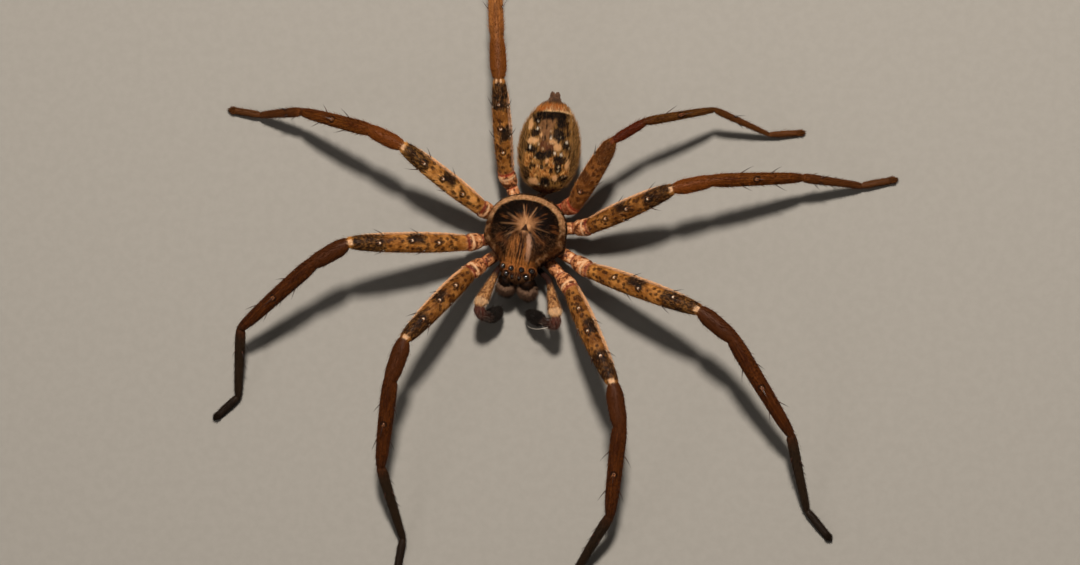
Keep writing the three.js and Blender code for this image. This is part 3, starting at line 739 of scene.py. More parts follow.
def face_marks(look, colour, at):
    """A rusty ring and a black rim round each eye, and a dark face below them."""
    for eye_ahead, eye_left, half in EYES.values():
        away = look.maths("SQRT", (at.ahead - eye_ahead) ** 2.0 + (abs(at.left) - eye_left) ** 2.0)
        colour = look.mix(look.ramp(away, half + 0.3, half + 0.12) * 0.65, colour, paint(160, 92, 44))
        colour = look.mix(look.ramp(away, half + 0.14, half + 0.06), colour, SOOT)
    face = look.ramp(at.ahead + at.coarse * 0.6, 3.95, 4.4)
    face_tint = look.mix(look.ramp(at.fine, 0.46, 0.62), paint(18, 9, 6), paint(66, 32, 18))
    return look.mix(face * 0.94, colour, face_tint)


def carapace_marks(look):
    """A pale star round the pit, a black crescent and a cream band behind it, and an orange-brown head."""
    ahead, left, edge = look.parts("place")
    root = look.vector("root")
    fine = look.noise(root, 3.4, 3.0, 0.65)
    coarse = look.noise(root, 1.0, 2.0) - 0.5
    along, across = ahead - PIT[0], left - PIT[1]
    off = look.maths("SQRT", along**2.0 + across**2.0) | 0.05
    ray = look.noise(look.combine(along / off * 6.0, across / off * 6.0, off * 0.3), 1.5, 3.0, 0.6)
    at = SimpleNamespace(ahead=ahead, left=left, root=root, fine=fine, coarse=coarse)
    at.along, at.across, at.off, at.ray = along, across, off, ray
    colour = head_marks(look, star_marks(look, at), at)
    pit = look.ramp(abs(across) - along * 0.5, 0.16, 0.04) * look.strip(along, -0.1, 0.75, 0.1)
    colour = look.mix(pit * 0.97, colour, paint(34, 14, 7))
    colour = hem_marks(look, colour, at, edge)
    return face_marks(look, colour, at), fine + look.ramp(off, 1.0, 0.6) * 1.3


# Markings of the abdomen

# Blots of the back, as share from front to tail, share of the half-width to the left and two half-sizes.
BLACK_BLOTS = [
    (0.61, 0.37, 0.052, 0.17), (0.625, -0.42, 0.036, 0.13), (0.77, 0.36, 0.06, 0.1),
    (0.79, -0.42, 0.05, 0.08), (0.5, 0.6, 0.05, 0.09), (0.435, -0.53, 0.036, 0.17),
    (0.37, -0.2, 0.034, 0.16), (0.4, 0.1, 0.036, 0.13), (0.345, 0.42, 0.042, 0.18),
    (0.27, 0.4, 0.05, 0.09), (0.17, -0.64, 0.055, 0.13), (0.105, 0.0, 0.04, 0.13),
    (0.22, 0.18, 0.03, 0.05), (0.25, -0.12, 0.02, 0.05), (0.26, -0.34, 0.014, 0.04),
    (0.15, 0.52, 0.03, 0.1),
]
CREAM_BLOTS = [
    (0.53, -0.48, 0.028, 0.17), (0.535, 0.18, 0.022, 0.1), (0.48, 0.34, 0.032, 0.08),
    (0.1, -0.38, 0.03, 0.15), (0.33, 0.04, 0.03, 0.04), (0.15, 0.3, 0.025, 0.06),
    (0.6, -0.22, 0.02, 0.04), (0.72, -0.62, 0.05, 0.06), (0.31, 0.66, 0.05, 0.05),
]
GLINTS = [
    (0.455, -0.54), (0.41, 0.27), (0.4, 0.47), (0.76, -0.38),
    (0.67, -0.36), (0.57, 0.1), (0.54, 0.6),
]


def blots(look, at, table):
    """Where any blot of a table lies, with ragged edges."""
    wobble = (at.fine - 0.5) * 6.0 + at.coarse * 3.0
    found = 0.0
    for at_share, at_side, long, wide in table:
        reach = ((at.share - at_share) / long) ** 2.0 + ((at.side - at_side) / wide) ** 2.0
        found = look.ramp(reach + wobble, 2.2, 1.0) | found
    return found


def back_marks(look, at):
    """Ochre streaks, flecked orange in front, with cream and black blots, pale specks that are partly
    painted highlight, and white glints that are painted highlights.
    """
    share, side = at.share, at.side
    streak = look.noise(look.combine(side * 9.0, share * 9.0, at.top * 2.0), 1.3, 3.0, 0.65)
    back = look.mix(look.ramp(streak, 0.42, 0.6), paint(38, 22, 9), paint(140, 98, 50))
    fleck = look.noise(look.combine(side * 26.0, share * 34.0, at.top * 4.0), 1.0, 3.0, 0.6)
    orange = look.ramp(at.coarse, -0.1, 0.04) * look.strip(share, 0.14, 0.4, 0.04)
    fleck_tint = look.mix(look.ramp(fleck, 0.5, 0.62), paint(172, 102, 44), paint(216, 166, 100))
    back = look.mix(orange * look.ramp(fleck, 0.39, 0.5) * 0.85, back, fleck_tint)
    middle = look.ramp(abs(side + 0.1) + at.coarse * 0.4, 0.3, 0.14) * look.strip(share, 0.56, 0.8, 0.03)
    back = look.mix(middle * look.ramp(streak, 0.36, 0.52), back, paint(136, 94, 60))
    russet = look.ramp(abs(side) + at.coarse * 0.3, 0.3, 0.18) * look.strip(share, 0.43, 0.54, 0.03)
    back = look.mix(russet * 0.8, back, paint(98, 54, 32))
    back = look.mix(blots(look, at, CREAM_BLOTS) * 0.9, back, paint(208, 158, 108))
    back = look.mix(blots(look, at, BLACK_BLOTS) * 0.97, back, BLACK)
    # Scattered pale specks: part pale flecks, part painted highlight of small glints
    specks_and_glints = look.ramp(look.cells(at.root, 1.3), 0.22, 0.14) * look.ramp(at.fine, 0.42, 0.55)
    back = look.mix(specks_and_glints * 0.7, back, paint(214, 184, 144))
    # White glints: painted highlights
    for at_share, at_side in GLINTS:
        away = look.maths("SQRT", (share - at_share) ** 2.0 * 121.0 + (side - at_side) ** 2.0 * 14.0)
        glint = look.ramp(away + (at.fine - 0.5) * 0.3, 0.19, 0.1)
        back = look.mix(glint * 0.85, back, paint(226, 210, 188))
    return back


def tail_marks(look, colour, at):
    """A black bar, then a thin cream lip, an orange crescent and the dull tip of the tail."""
    bent = at.share + at.side * at.side * 0.1 - at.side * 0.02 + at.coarse * 0.03
    bar = look.strip(bent + (at.fine - 0.5) * 0.04, 0.785, 0.888, 0.012)
    bar = bar * look.ramp(abs(at.side), 0.62, 0.44)
    colour = look.mix(bar * 0.97, colour, BLACK)
    crest = look.strip(bent, 0.9, 0.945, 0.01) * look.ramp(abs(at.side + 0.05), 0.62, 0.3)
    colour = look.mix(crest * 0.92, colour, paint(184, 102, 44))
    lip = look.strip(bent, 0.884, 0.904, 0.006) * look.strip(at.side, -0.25, 0.62, 0.1)
    colour = look.mix(lip, colour, paint(236, 190, 136))
    return look.mix(look.ramp(bent, 0.948, 0.965) * 0.85, colour, paint(84, 58, 50))


def abdomen_marks(look):
    """An ochre back with paired black and cream blots, an orange crescent at the tail and brown flanks."""
    share, side, top = look.parts("place")
    root = look.vector("root")
    fine = look.noise(root, 3.6, 3.0, 0.75)
    coarse = look.noise(root, 1.0, 2.0) - 0.5
    at = SimpleNamespace(share=share, side=side, top=top, root=root, fine=fine, coarse=coarse)
    hairs = look.noise(look.combine(side * 14.0, share * 5.0, top * 9.0), 1.0, 3.0, 0.6)
    flank_tint = look.mix(look.ramp(hairs, 0.38, 0.62), paint(54, 35, 16), paint(118, 84, 46))
    flank = look.ramp(abs(side) + coarse * 0.25, 0.64, 0.8) | look.ramp(top, 0.45, 0.15)
    colour = tail_marks(look, look.mix(flank, back_marks(look, at), flank_tint), at)
    front = look.ramp(share + coarse * 0.04, 0.075, 0.03)
    colour = look.mix(front * 0.9, colour, paint(46, 15, 6))
    under = look.ramp(top, -0.3, -0.7)
    return look.mix(under * 0.7, colour, paint(112, 78, 46)), fine


# Markings of the palps, jaws and underside, and the other finishes


def palp_marks(look):
    """A pale thigh darkened along both sides as painted shade, with a few dark spots, a red-brown knee and a
    black foot.
    """
    station, side, _ = look.parts("place")
    root = look.vector("root")
    fine = look.noise(root, 3.0, 3.0, 0.6)
    thigh = look.mix(look.ramp(fine, 0.4, 0.6), paint(124, 76, 40), paint(194, 140, 88))
    # Both sides of the thigh darkened: painted shade
    thigh = look.mix(look.ramp(abs(side), 0.62, 0.95) * 0.6, thigh, paint(70, 42, 22))
    spots = look.ramp(look.cells(root, 1.1) + (fine - 0.5) * 0.4, 0.34, 0.22)
    thigh = look.mix(spots * 0.85, thigh, paint(60, 30, 16))
    thigh = look.mix(look.ramp(station, 1.3, 1.05), thigh, paint(48, 28, 22))
    pale_end = look.strip(station + (fine - 0.5) * 0.1, 1.8, 1.95, 0.03)
    thigh = look.mix(pale_end * 0.7, thigh, paint(226, 182, 136))
    colour = look.mix(look.ramp(station, 1.97, 2.02), thigh, paint(86, 48, 38))
    colour = look.mix(look.ramp(station, 2.9, 3.3), colour, paint(52, 30, 24))
    return look.mix(look.ramp(station, 3.8, 4.1), colour, paint(17, 13, 12)), fine


def jaw_marks(look):
    """Black-brown jaws, darkened partly as painted shade under the face, with grey-tan patches on their
    fronts.
    """
    station, _, top = look.parts("place")
    root = look.vector("root")
    fine = look.noise(root, 1.6, 3.0, 0.6)
    # The near-black ground is partly the jaws' own dark brown and partly painted shade under the face
    dark = look.mix(look.ramp(fine, 0.4, 0.7), paint(17, 11, 8), paint(52, 32, 20))
    patch = look.ramp(look.noise(root, 1.1, 2.0), 0.44, 0.58) * look.ramp(top, 0.1, 0.5)
    patch = patch * look.strip(station, 0.4, 1.05, 0.12)
    return look.mix(patch * 0.8, dark, paint(104, 76, 58)), fine


def underside_marks(look):
    fine = look.noise(look.vector("root"), 1.8, 3.0, 0.6)
    return look.mix(look.ramp(fine, 0.35, 0.65), paint(60, 36, 22), paint(104, 68, 44)), fine


def chitin_look(name, dark, warm, roughness, gloss):
    """Bare horn, from warm at the root to dark at the tip."""
    look = Look(name, {"Specular IOR Level": gloss, "Coat Roughness": 0.08})
    grain = look.noise(look.vector("root"), 2.0, 3.0)
    colour = look.mix(look.ramp(grain + look.value("tip") * 0.6, 0.5, 1.0), warm, dark)
    return look.finish(colour, roughness=roughness + grain * 0.12)


def eye_look():
    look = Look("eye_lens", {"Specular IOR Level": 0.8, "Coat Weight": 1.0, "Coat Roughness": 0.03})
    deep = look.noise(look.vector("root"), 4.0, 2.0)
    colour = look.mix(look.ramp(deep, 0.4, 0.7), paint(8, 6, 6), paint(26, 14, 10))
    return look.finish(colour, roughness=0.05 + deep * 0.06)


def floor_look():
    look = Look("floor_card", {"Specular IOR Level": 0.2})
    grain = look.noise(look.node("TexCoord", output=3), 900.0, 3.0, 0.6)
    tint = look.mix(look.ramp(grain, 0.3, 0.7), paint(136, 131, 124), paint(139, 134, 127))
    return look.finish(tint, roughness=0.8 + grain * 0.1)


# Meshes


def fill(mesh, name, kind, values):
    attribute = mesh.attributes.new(name, kind, "POINT")
    key = "vector" if kind == "FLOAT_VECTOR" else "value"
    attribute.data.foreach_set(key, np.ascontiguousarray(values, np.float32).ravel())


def place_facts(base, station, angle):
    """Where a root is on a form: its station and how far it faces left and up."""
    return {"place": np.column_stack([station, np.cos(angle), np.sin(angle)])}


def piece(name, vertices, faces, corners, facts, material, nodes=()):
    """A closed mesh that rides on the body. Faces are groups of rows of corners, and corners their UVs."""
    vertices = vertices.copy()
    vertices[:, 2] = np.maximum(vertices[:, 2], FLOOR_CLEARANCE)
    mesh = bpy.data.meshes.new(name)
    mesh.vertices.add(len(vertices))
    mesh.vertices.foreach_set("co", (vertices * METRES).astype(np.float32).ravel())
    order = np.concatenate([rows.ravel() for rows in faces])
    sizes = np.concatenate([np.full(len(rows), rows.shape[1]) for rows in faces])
    mesh.loops.add(len(order))
    mesh.loops.foreach_set("vertex_index", order.astype(np.int32))
    mesh.polygons.add(len(sizes))
    mesh.polygons.foreach_set("loop_start", (np.cumsum(sizes) - sizes).astype(np.int32))
    layer = mesh.uv_layers.new(name="OFBake")
    layer.uv.foreach_set("vector", np.clip(corners, 0, 1).astype(np.float32).ravel())
    for fact, values in facts.items():
        fill(mesh, fact, "FLOAT_VECTOR" if values.ndim == 2 else "FLOAT", values)
    mesh.update(calc_edges=True)
    mesh.shade_smooth()
    mesh.materials.append(material)
    made = bpy.data.objects.new(name, mesh)
    bpy.context.scene.collection.objects.link(made)
    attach(made, "root")
    if nodes:
        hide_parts(*nodes)


def ringed(stations, sides):
    """Rows of corners of a grid of rings closed by a fan at either end, with their UVs."""
    rings = len(stations)
    row, column = np.meshgrid(np.arange(rings - 1), np.arange(sides), indexing="ij")
    row, column = row.ravel(), column.ravel()
    beside = (column + 1) % sides
    here, there = row * sides, (row + 1) * sides
    quads = np.column_stack([here + column, here + beside, there + beside, there + column])
    spin = np.arange(sides)
    first, last = rings * sides, rings * sides + 1
    start = np.column_stack([np.full(sides, first), (spin + 1) % sides, spin])
    top = (rings - 1) * sides
    end = np.column_stack([np.full(sides, last), top + spin, top + (spin + 1) % sides])
    u, v = stations, np.arange(sides + 1) / sides
    square = [(u[row + down], v[column + on]) for down, on in ((0, 0), (0, 1), (1, 1), (1, 0))]
    low, high = np.full(sides, u[0]), np.full(sides, u[-1])
    middle = (v[:-1] + v[1:]) / 2
    groups = [
        square,
        [(low, middle), (low, v[1:]), (low, v[:-1])],
        [(high, middle), (high, v[:-1]), (high, v[1:])],
    ]
    corners = [np.stack([np.stack(pair, axis=-1) for pair in group], axis=1) for group in groups]
    return [quads, start, end], np.concatenate([group.reshape(-1, 2) for group in corners])


def skin(name, form, rings, sides, material, nodes=(), facts=place_facts):
    """The bare surface of a form, closed at both ends. Facts gives what the markings read there."""
    stations = form.station[0] + (form.station[-1] - form.station[0]) * rings
    vertices, station, angle = form.rings(stations, sides)
    faces, corners = ringed(rings, sides)
    known = {"root": vertices, "tone": np.full(len(vertices), 0.5), **facts(vertices, station, angle)}
    piece(name, vertices, faces, corners, known, material, nodes)


def even(count):
    return np.linspace(0, 1, count)


def bunched(count):
    """Shares from 0 to 1 that crowd towards both ends, for a form with rounded ends."""
    return 0.5 - 0.5 * np.cos(np.pi * np.linspace(0, 1, count))


# Corners of one hair: a closed three-sided spike, straight or with one bend
STRAIGHT = np.array([(0, 2, 1), (0, 1, 3), (1, 2, 3), (2, 0, 3)])
BENT = np.array([
    (0, 2, 1), (0, 1, 3), (1, 4, 3), (1, 2, 4), (2, 5, 4),
    (2, 0, 5), (0, 3, 5), (3, 4, 6), (4, 5, 6), (5, 3, 6),
])
# Size of one hair's patch in the map, the cells along and round a form that share out its hairs,
# and how deep a hair's root is sunk
PATCH = 0.003
SCATTER_CELLS = (220, 48)
HAIR_SUNK = 0.04


class Coat:
    """Gathers the hairs of one piece and makes a single mesh of them."""

    def __init__(self, form, facts=place_facts):
        self.form = form
        self.facts = facts
        self.groups = []

    def over(self, form):
        """The same coat, carried on over another form."""
        other = Coat(form, self.facts)
        other.groups = self.groups
        return other

    def scatter(self, count, low=None, high=None, weight=None):
        """Roots spread evenly over the form, or as a weight says, as stations and angles."""
        form = self.form
        rows, columns = SCATTER_CELLS
        low = form.station[0] if low is None else low
        high = form.station[-1] if high is None else high
        edges, turns = np.linspace(low, high, rows + 1), np.linspace(0, 2 * np.pi, columns + 1)
        middles = [(lines[1:] + lines[:-1]) / 2 for lines in (edges, turns)]
        station, angle = np.meshgrid(*middles, indexing="ij")
        corner = form.plain(*np.meshgrid(edges, turns, indexing="ij"))
        diagonals = corner[1:, 1:] - corner[:-1, :-1], corner[1:, :-1] - corner[:-1, 1:]
        area = np.linalg.norm(np.cross(*diagonals), axis=-1)
        if weight is not None:
            area = area * weight(station, angle, form.plain(station, angle), form.frame(station, angle)[2])
        pile = np.cumsum(area.ravel())
        picks = np.searchsorted(pile, (np.arange(count) + draw.random(count)) / count * pile[-1])
        row, column = np.divmod(np.minimum(picks, rows * columns - 1), columns)
        station = edges[row] + draw.random(count) * (edges[1] - edges[0])
        return station, turns[column] + draw.random(count) * turns[1]

    def grow(self, count, length, width, rise, low=None, high=None, weight=None, **style):
        """Scatters hairs over the form. Length is a number, or stations and the lengths at them."""
        roots = self.scatter(count, low, high, weight)
        if isinstance(length, tuple):
            length = np.interp(roots[0], *length)
        self.add(*roots, length, width, rise, **style)

    def add(
        self, station, angle, length, width, rise, curl=None, comb=None, stray=0.25, pale=0.0, tone=None
    ):
        """Hairs at these roots. Rise is the angle off the skin, curl how far they bend back to it."""
        count = len(station)
        onward, _, out = self.form.frame(station, angle)
        base = self.form.point(station, angle)
        lie = onward if comb is None else comb(base, out)
        lie = unit(lie - out * np.sum(lie * out, axis=-1, keepdims=True))
        lie = unit(lie + np.cross(out, lie) * stray * draw.standard_normal(count)[:, None])
        length = length * (0.75 + 0.5 * draw.random(count))
        rise = np.radians(rise * (0.6 + 0.8 * draw.random(count)))
        aim = lie * np.cos(rise)[:, None] + out * np.sin(rise)[:, None]
        side = unit(np.cross(aim, out))
        lift = np.cross(side, aim)
        base = base - aim * HAIR_SUNK

        def triangle(middle, size):
            return [middle + side * size, middle - side * size, middle + lift * size * 1.1]

        if curl is None:
            points = [*triangle(base, width / 2), base + aim * (length + HAIR_SUNK)[:, None]]
            tips = [0, 0, 0, 1]
        else:
            bent = rise - np.radians(curl)
            onto = lie * np.cos(bent)[:, None] + out * np.sin(bent)[:, None]
            middle = base + aim * (length * 0.5 + HAIR_SUNK)[:, None]
            top = middle + onto * (length * 0.5)[:, None]
            points = [*triangle(base, width / 2), *triangle(middle, width * 0.375), top]
            tips = [0, 0, 0, 0.5, 0.5, 0.5, 1]
        vertices = np.stack(points, axis=1)
        each = vertices.shape[1]
        root = self.form.plain(station, angle)
        known = {"root": root, **self.facts(root, station, angle)}
        known["tone"] = draw.random(count) if tone is None else np.full(count, tone)
        known["pale"] = np.full(count, pale)
        known = {fact: np.repeat(values, each, axis=0) for fact, values in known.items()}
        known["tip"] = np.tile(tips, count).astype(float)
        pattern = STRAIGHT if curl is None else BENT
        faces = (np.arange(count) * each)[:, None, None] + pattern[None]
        spot = np.stack([self.form.share(station), (angle / (2 * np.pi)) % 1.0], axis=-1)
        spread = PATCH * np.stack([np.array(tips) - 0.5, (np.arange(each) % 3) * 0.5 - 0.5], axis=-1)
        corners = spot[:, None, None] + spread[pattern][None]
        self.groups.append((vertices.reshape(-1, 3), faces.reshape(-1, 3), corners.reshape(-1, 2), known))

    def build(self, name, material, slot):
        vertices, faces, corners, known = zip(*self.groups)
        starts = np.cumsum([0, *map(len, vertices)])
        faces = np.concatenate([rows + start for rows, start in zip(faces, starts)])
        facts = {fact: np.concatenate([group[fact] for group in known]) for fact in known[0]}
        piece(name, np.concatenate(vertices), [faces], np.concatenate(corners), facts, material)


# Carapace


def carapace_taper(ahead, which):
    """How the shell closes in towards either end, the blunter the higher the power."""
    share = np.abs(ahead / CARAPACE["half"])
    return np.sqrt(np.maximum(0, 1 - share ** np.where(ahead > 0, *CARAPACE_BLUNT[which])))


def carapace_width(ahead):
    share = np.abs(ahead / CARAPACE["half"])
    pinch = np.where(ahead > 0, 1 - CARAPACE["pinch"] * smooth(0.05, 0.68, share), 1)
    return CARAPACE["width"] * pinch * carapace_taper(ahead, "outline")


def carapace_rise(ahead):
    return CARAPACE["crown"] * carapace_taper(ahead, "profile")


def carapace_top(ahead, left):
    share = np.minimum(1, np.abs(left) / carapace_width(ahead))
    return CARAPACE["rim"] + carapace_rise(ahead) * np.sqrt(1 - share * share)


OUTLINE_AHEAD = -CARAPACE["half"] * np.cos(np.linspace(0, np.pi, 181))
OUTLINE = np.column_stack([OUTLINE_AHEAD, carapace_width(OUTLINE_AHEAD)])


def carapace_facts(base, station, angle):
    """Where a root is on the shell, ahead and left, and how far it is in from the shell's edge."""
    ahead, left = off_body(base)
    gaps = np.hypot(ahead[:, None] - OUTLINE[:, 0], np.abs(left)[:, None] - OUTLINE[:, 1])
    edge = gaps.min(axis=1) * np.where(np.sin(angle) < -0.05, 0, 1)
    return {"place": np.column_stack([ahead, left, edge])}


def eye_gaps(ahead, left):
    """How far places on the shell are from the rim of each eye."""
    return [np.hypot(ahead - at, np.abs(left) - beside) - half for at, beside, half in EYES.values()]


def carapace_relief(base, station, angle):
    """The middle pit, the furrows that run from it, the groove behind the head and a rim at each eye."""
    ahead, left = off_body(base)
    behind = ahead - SHELL_PIT["ahead"]
    pit = peak(behind / SHELL_PIT["long"]) * peak((left - SHELL_PIT["left"]) / SHELL_PIT["wide"])
    away = np.hypot(behind, left)
    furrow = (0.5 + 0.5 * np.cos(np.arctan2(left, -behind) * SHELL_FURROWS["count"])) ** 4
    furrow = furrow * smooth(0.5, 1.4, away) * smooth(4.4, 3.0, away) * smooth(1.6, 0.4, ahead)
    shoulder = SHELL_GROOVE["left"] + SHELL_GROOVE["spread"] * (ahead + 0.6)
    groove = peak((np.abs(left) - shoulder) / SHELL_GROOVE["wide"]) * band(-0.9, 2.7, 0.6, ahead)
    hollow = SHELL_PIT["depth"] * pit + SHELL_FURROWS["depth"] * furrow + SHELL_GROOVE["depth"] * groove
    rims = sum(peak((gap - EYE_RIM["off"]) / EYE_RIM["wide"]) for gap in eye_gaps(ahead, left))
    return EYE_RIM["height"] * rims - smooth(0.0, 0.3, np.sin(angle)) * hollow


def clear_of_eyes(station, angle, base, out):
    """Full on top but for the pit and the eyes, and thin below."""
    ahead, left = off_body(base)
    off_pit = np.hypot(ahead - SHELL_PIT["ahead"], left - SHELL_PIT["left"])
    clear = np.where(out[..., 2] > -0.2, 1.0, 0.05) * smooth(0.2, 0.42, off_pit)
    for gap in eye_gaps(ahead, left):
        clear = clear * smooth(0.02, 0.14, gap)
    return clear


def off_crescent(station, angle, base, out):
    ahead, left = off_body(base)
    black = smooth(1.3, 1.7, np.hypot(ahead - SHELL_PIT["ahead"], left)) * smooth(-0.4, -1.4, ahead)
    black = black * smooth(4.5, 4.1, np.hypot(ahead * 0.93, left))
    return clear_of_eyes(station, angle, base, out) * (1 - black)


def brow_hairs(station, angle, base, out):
    ahead, left = off_body(base)
    return clear_of_eyes(station, angle, base, out) * smooth(4.3, 5.0, ahead) * (np.abs(left) < 2.2)


def hem_hairs(station, angle, base, out):
    return peak((np.sin(angle) - 0.12) / 0.16)


def from_pit(base, out):
    return base - on_body(-1.6, 0.1, CARAPACE["rim"] + CARAPACE["crown"])


def forward(base, out):
    return AHEAD - 0.8 * UP + 0 * base


def make_carapace():
    depth = COAT_DEPTH["carapace"]
    ahead = -CARAPACE["half"] * np.cos(np.linspace(0, np.pi, 241))
    half = np.maximum(carapace_width(ahead) - depth, 0.01)
    rise = np.maximum(carapace_rise(ahead) - depth, 0.01)
    drop = np.minimum(CARAPACE["edge"], half)
    form = Form(ahead, on_body(ahead, 0.0, CARAPACE["rim"]), AHEAD, UP, half, rise, drop)
    form.relief = carapace_relief
    bare, furry = furry_looks("carapace", carapace_marks, paint(196, 138, 92), depth=0.02)
    skin("carapace_shell", form, bunched(150), 140, bare, ["carapace"], carapace_facts)

    coat = Coat(form, carapace_facts)
    combed = {"comb": from_pit, "stray": 0.15}
    coat.grow(35000, length=0.26, width=0.034, rise=7, weight=clear_of_eyes, **combed)
    coat.grow(1800, length=0.34, width=0.03, rise=12, weight=off_crescent, pale=0.4, **combed)
    coat.grow(900, length=0.45, width=0.03, rise=24, weight=off_crescent, curl=20, comb=from_pit, pale=0.2)
    coat.grow(500, length=0.26, width=0.032, rise=20, weight=hem_hairs, curl=20, comb=from_pit)
    coat.grow(1100, length=0.5, width=0.036, rise=26, weight=brow_hairs, curl=10, comb=forward, pale=0.2)
    coat.build("coat_carapace", furry, "carapace")


def make_eyes():
    lens = eye_look()
    turns = np.linspace(0, np.pi, 23)
    for name, (ahead, left, half) in EYES.items():
        for word, side in SIDES.items():
            middle = on_body(ahead, left * side, carapace_top(ahead, left))
            at = middle - half * np.cos(turns)[:, None] * UP
            size = np.maximum(half * np.sin(turns), 0.002)
            ball = Form(turns, at, UP, AHEAD, size, size)
            whole = f"eye_{name}_{word}"
            skin("lens_" + whole, ball, even(23), 28, lens, [whole])


# Abdomen, waist and spinnerets


def abdomen_place(share):
    lift = ABDOMEN_COURSE["arch"] * np.sin(np.pi * share**0.8) - ABDOMEN_COURSE["sink"] * share
    front = np.array([*ABDOMEN["front"], ABDOMEN["height"]])
    return front + (ABDOMEN["length"] * share)[..., None] * ABDOMEN_AXIS + lift[..., None] * UP


def abdomen_girth(share):
    spot = 2 * share - 1
    skewed = spot + ABDOMEN_COURSE["skew"] * (1 - spot * spot)
    return np.maximum(0, 1 - skewed * skewed) ** ABDOMEN_COURSE["fullness"]


def abdomen_facts(base, station, angle):
    side = (base - np.array([*ABDOMEN["front"], 0.0])) @ ABDOMEN_SIDE / ABDOMEN_SECTION["width"]
    return {"place": np.column_stack([station, side, np.sin(angle)])}


def wrinkles(base, station, angle):
    """Faint folds round the abdomen, deepest on its flanks."""
    fold = np.sin(station * WRINKLES["pace"] + WRINKLES["sway"] * np.sin(angle * 3))
    flank = smooth(0.75, 0.2, np.abs(np.sin(angle)))
    return WRINKLES["height"] * fold * flank * band(0.12, 0.9, 0.1, station)


def on_flanks(station, angle, base, out):
    return smooth(0.9, 0.2, np.abs(np.sin(angle))) * smooth(0.0, 0.1, station)


def on_tail(station, angle, base, out):
    return smooth(0.86, 0.97, station) * smooth(-0.6, 0.2, np.sin(angle))


def make_abdomen():
    share = bunched(201)
    girth = abdomen_girth(share)
    inset = COAT_DEPTH["abdomen"] * smooth(0, 0.3, girth)
    sizes = [np.maximum(ABDOMEN_SECTION[part] * girth - inset, 0.02) for part in ("width", "rise", "drop")]
    form = Form(share, abdomen_place(share), ABDOMEN_AXIS, UP, *sizes)
    form.relief = wrinkles
    bare, furry = furry_looks("abdomen", abdomen_marks, paint(164, 116, 68), depth=0.04)
    skin("abdomen_skin", form, bunched(130), 110, bare, ["abdomen"], abdomen_facts)

    coat = Coat(form, abdomen_facts)
    coat.grow(39000, length=0.3, width=0.038, rise=11)
    coat.grow(1500, length=0.4, width=0.032, rise=18, pale=0.4, stray=0.3)
    coat.grow(700, length=0.55, width=0.032, rise=30, curl=18, pale=0.3)
    coat.grow(1500, length=0.75, width=0.036, rise=32, weight=on_flanks, curl=20, pale=0.5)
    coat.grow(700, length=0.8, width=0.05, rise=30, weight=on_tail, curl=15, pale=0.2)
    coat.build("coat_abdomen", furry, "abdomen")


def make_waist():
    joints = [on_body(*PEDICEL["from"]), on_body(*PEDICEL["bend"]), abdomen_place(np.array(0.02))]
    girth = [(0, PEDICEL["half"], PEDICEL["half"]), (1, 0.4, 0.4), (2, PEDICEL["half"], PEDICEL["half"])]
    form = limb(joints, girth, COAT_DEPTH["waist"], before=-AHEAD, after=ABDOMEN_AXIS)
    skin("waist", form, even(60), 24, skin_look("waist", underside_marks), ["pedicel"])


CONE_GIRTH = [(0, 0.62, 0.6), (0.5, 0.6, 0.55), (1, 0.42, 0.4)]
FINGER_GIRTH = [(0, 0.26, 0.26), (0.6, 0.24, 0.24), (0.9, 0.16, 0.16), (1, 0.06, 0.06)]


def make_spinnerets():
    """A low cone behind the abdomen with four fingers, each a skin of its own, and their hairs."""
    bare, furry = furry_looks("spinnerets", underside_marks, paint(120, 98, 84))
    tail = abdomen_place(np.array(1.0))
    sunk = ABDOMEN_AXIS * SPINNERETS["sunk"]
    end = tail + ABDOMEN_AXIS * SPINNERETS["base"]
    cone = limb([tail - sunk, end], CONE_GIRTH, COAT_DEPTH["waist"])
    skin("spinneret_cone", cone, even(24), 28, bare, ["spinnerets"])
    coat = Coat(cone)
    coat.grow(700, length=0.5, width=0.04, rise=25, curl=10, pale=0.3)
    for side, side_word in ((1, "right"), (-1, "left")):
        for level, level_word in ((1, "upper"), (-1, "lower")):
            outward = ABDOMEN_SIDE * side + UP * level
            root = end + outward * SPINNERETS["apart"]
            tip = root + ABDOMEN_AXIS * SPINNERETS["long"] + outward * SPINNERETS["spread"]
            finger = limb([root - sunk, tip], FINGER_GIRTH, COAT_DEPTH["finger"])
            skin(f"spinneret_{level_word}_{side_word}", finger, even(20), 16, bare)
            coat.over(finger).grow(220, length=0.3, width=0.035, rise=22, curl=10, pale=0.3)
    coat.build("coat_spinnerets", furry, "underside")


# Breastplate, mouthparts and jaws


def make_flanks(bare):
    """The soft skin between the shell and the roots of the legs."""
    share = np.linspace(0, 1, 40)
    height = FLANK["low"] + (FLANK["high"] - FLANK["low"]) * share
    size = np.sqrt(1 - 0.5 * (2 * share - 1) ** 4) * np.interp(share, [0, 0.04, 0.96, 1], [0.8, 1, 1, 0.8])
    at = on_body(FLANK["ahead"], 0.0, height)
    form = Form(height, at, UP, AHEAD, FLANK["width"] * size, FLANK["half"] * size)
    skin("flank_skin", form, even(24), 64, bare)


def backward(base, out):
    return 0 * base - AHEAD


def make_breastplate(bare):
    """The plate between the roots of the legs, and the start of the underside's coat."""
    low, high = STERNUM["low"], STERNUM["high"]
    height = np.linspace(low, high, 60)
    size = np.interp(height - low, [0, 0.1, 0.4, 0.9, 2.0], [0.35, 0.66, 0.9, 1, 1])
    at = on_body(STERNUM["ahead"], 0.0, height)
    form = Form(height, at, UP, AHEAD, STERNUM["width"] * size, STERNUM["half"] * size)
    skin("breastplate", form, even(30), 72, bare, ["sternum"])
    coat = Coat(form)
    coat.grow(2600, length=0.35, width=0.045, rise=25, high=low + 1.2, comb=backward)
    return coat


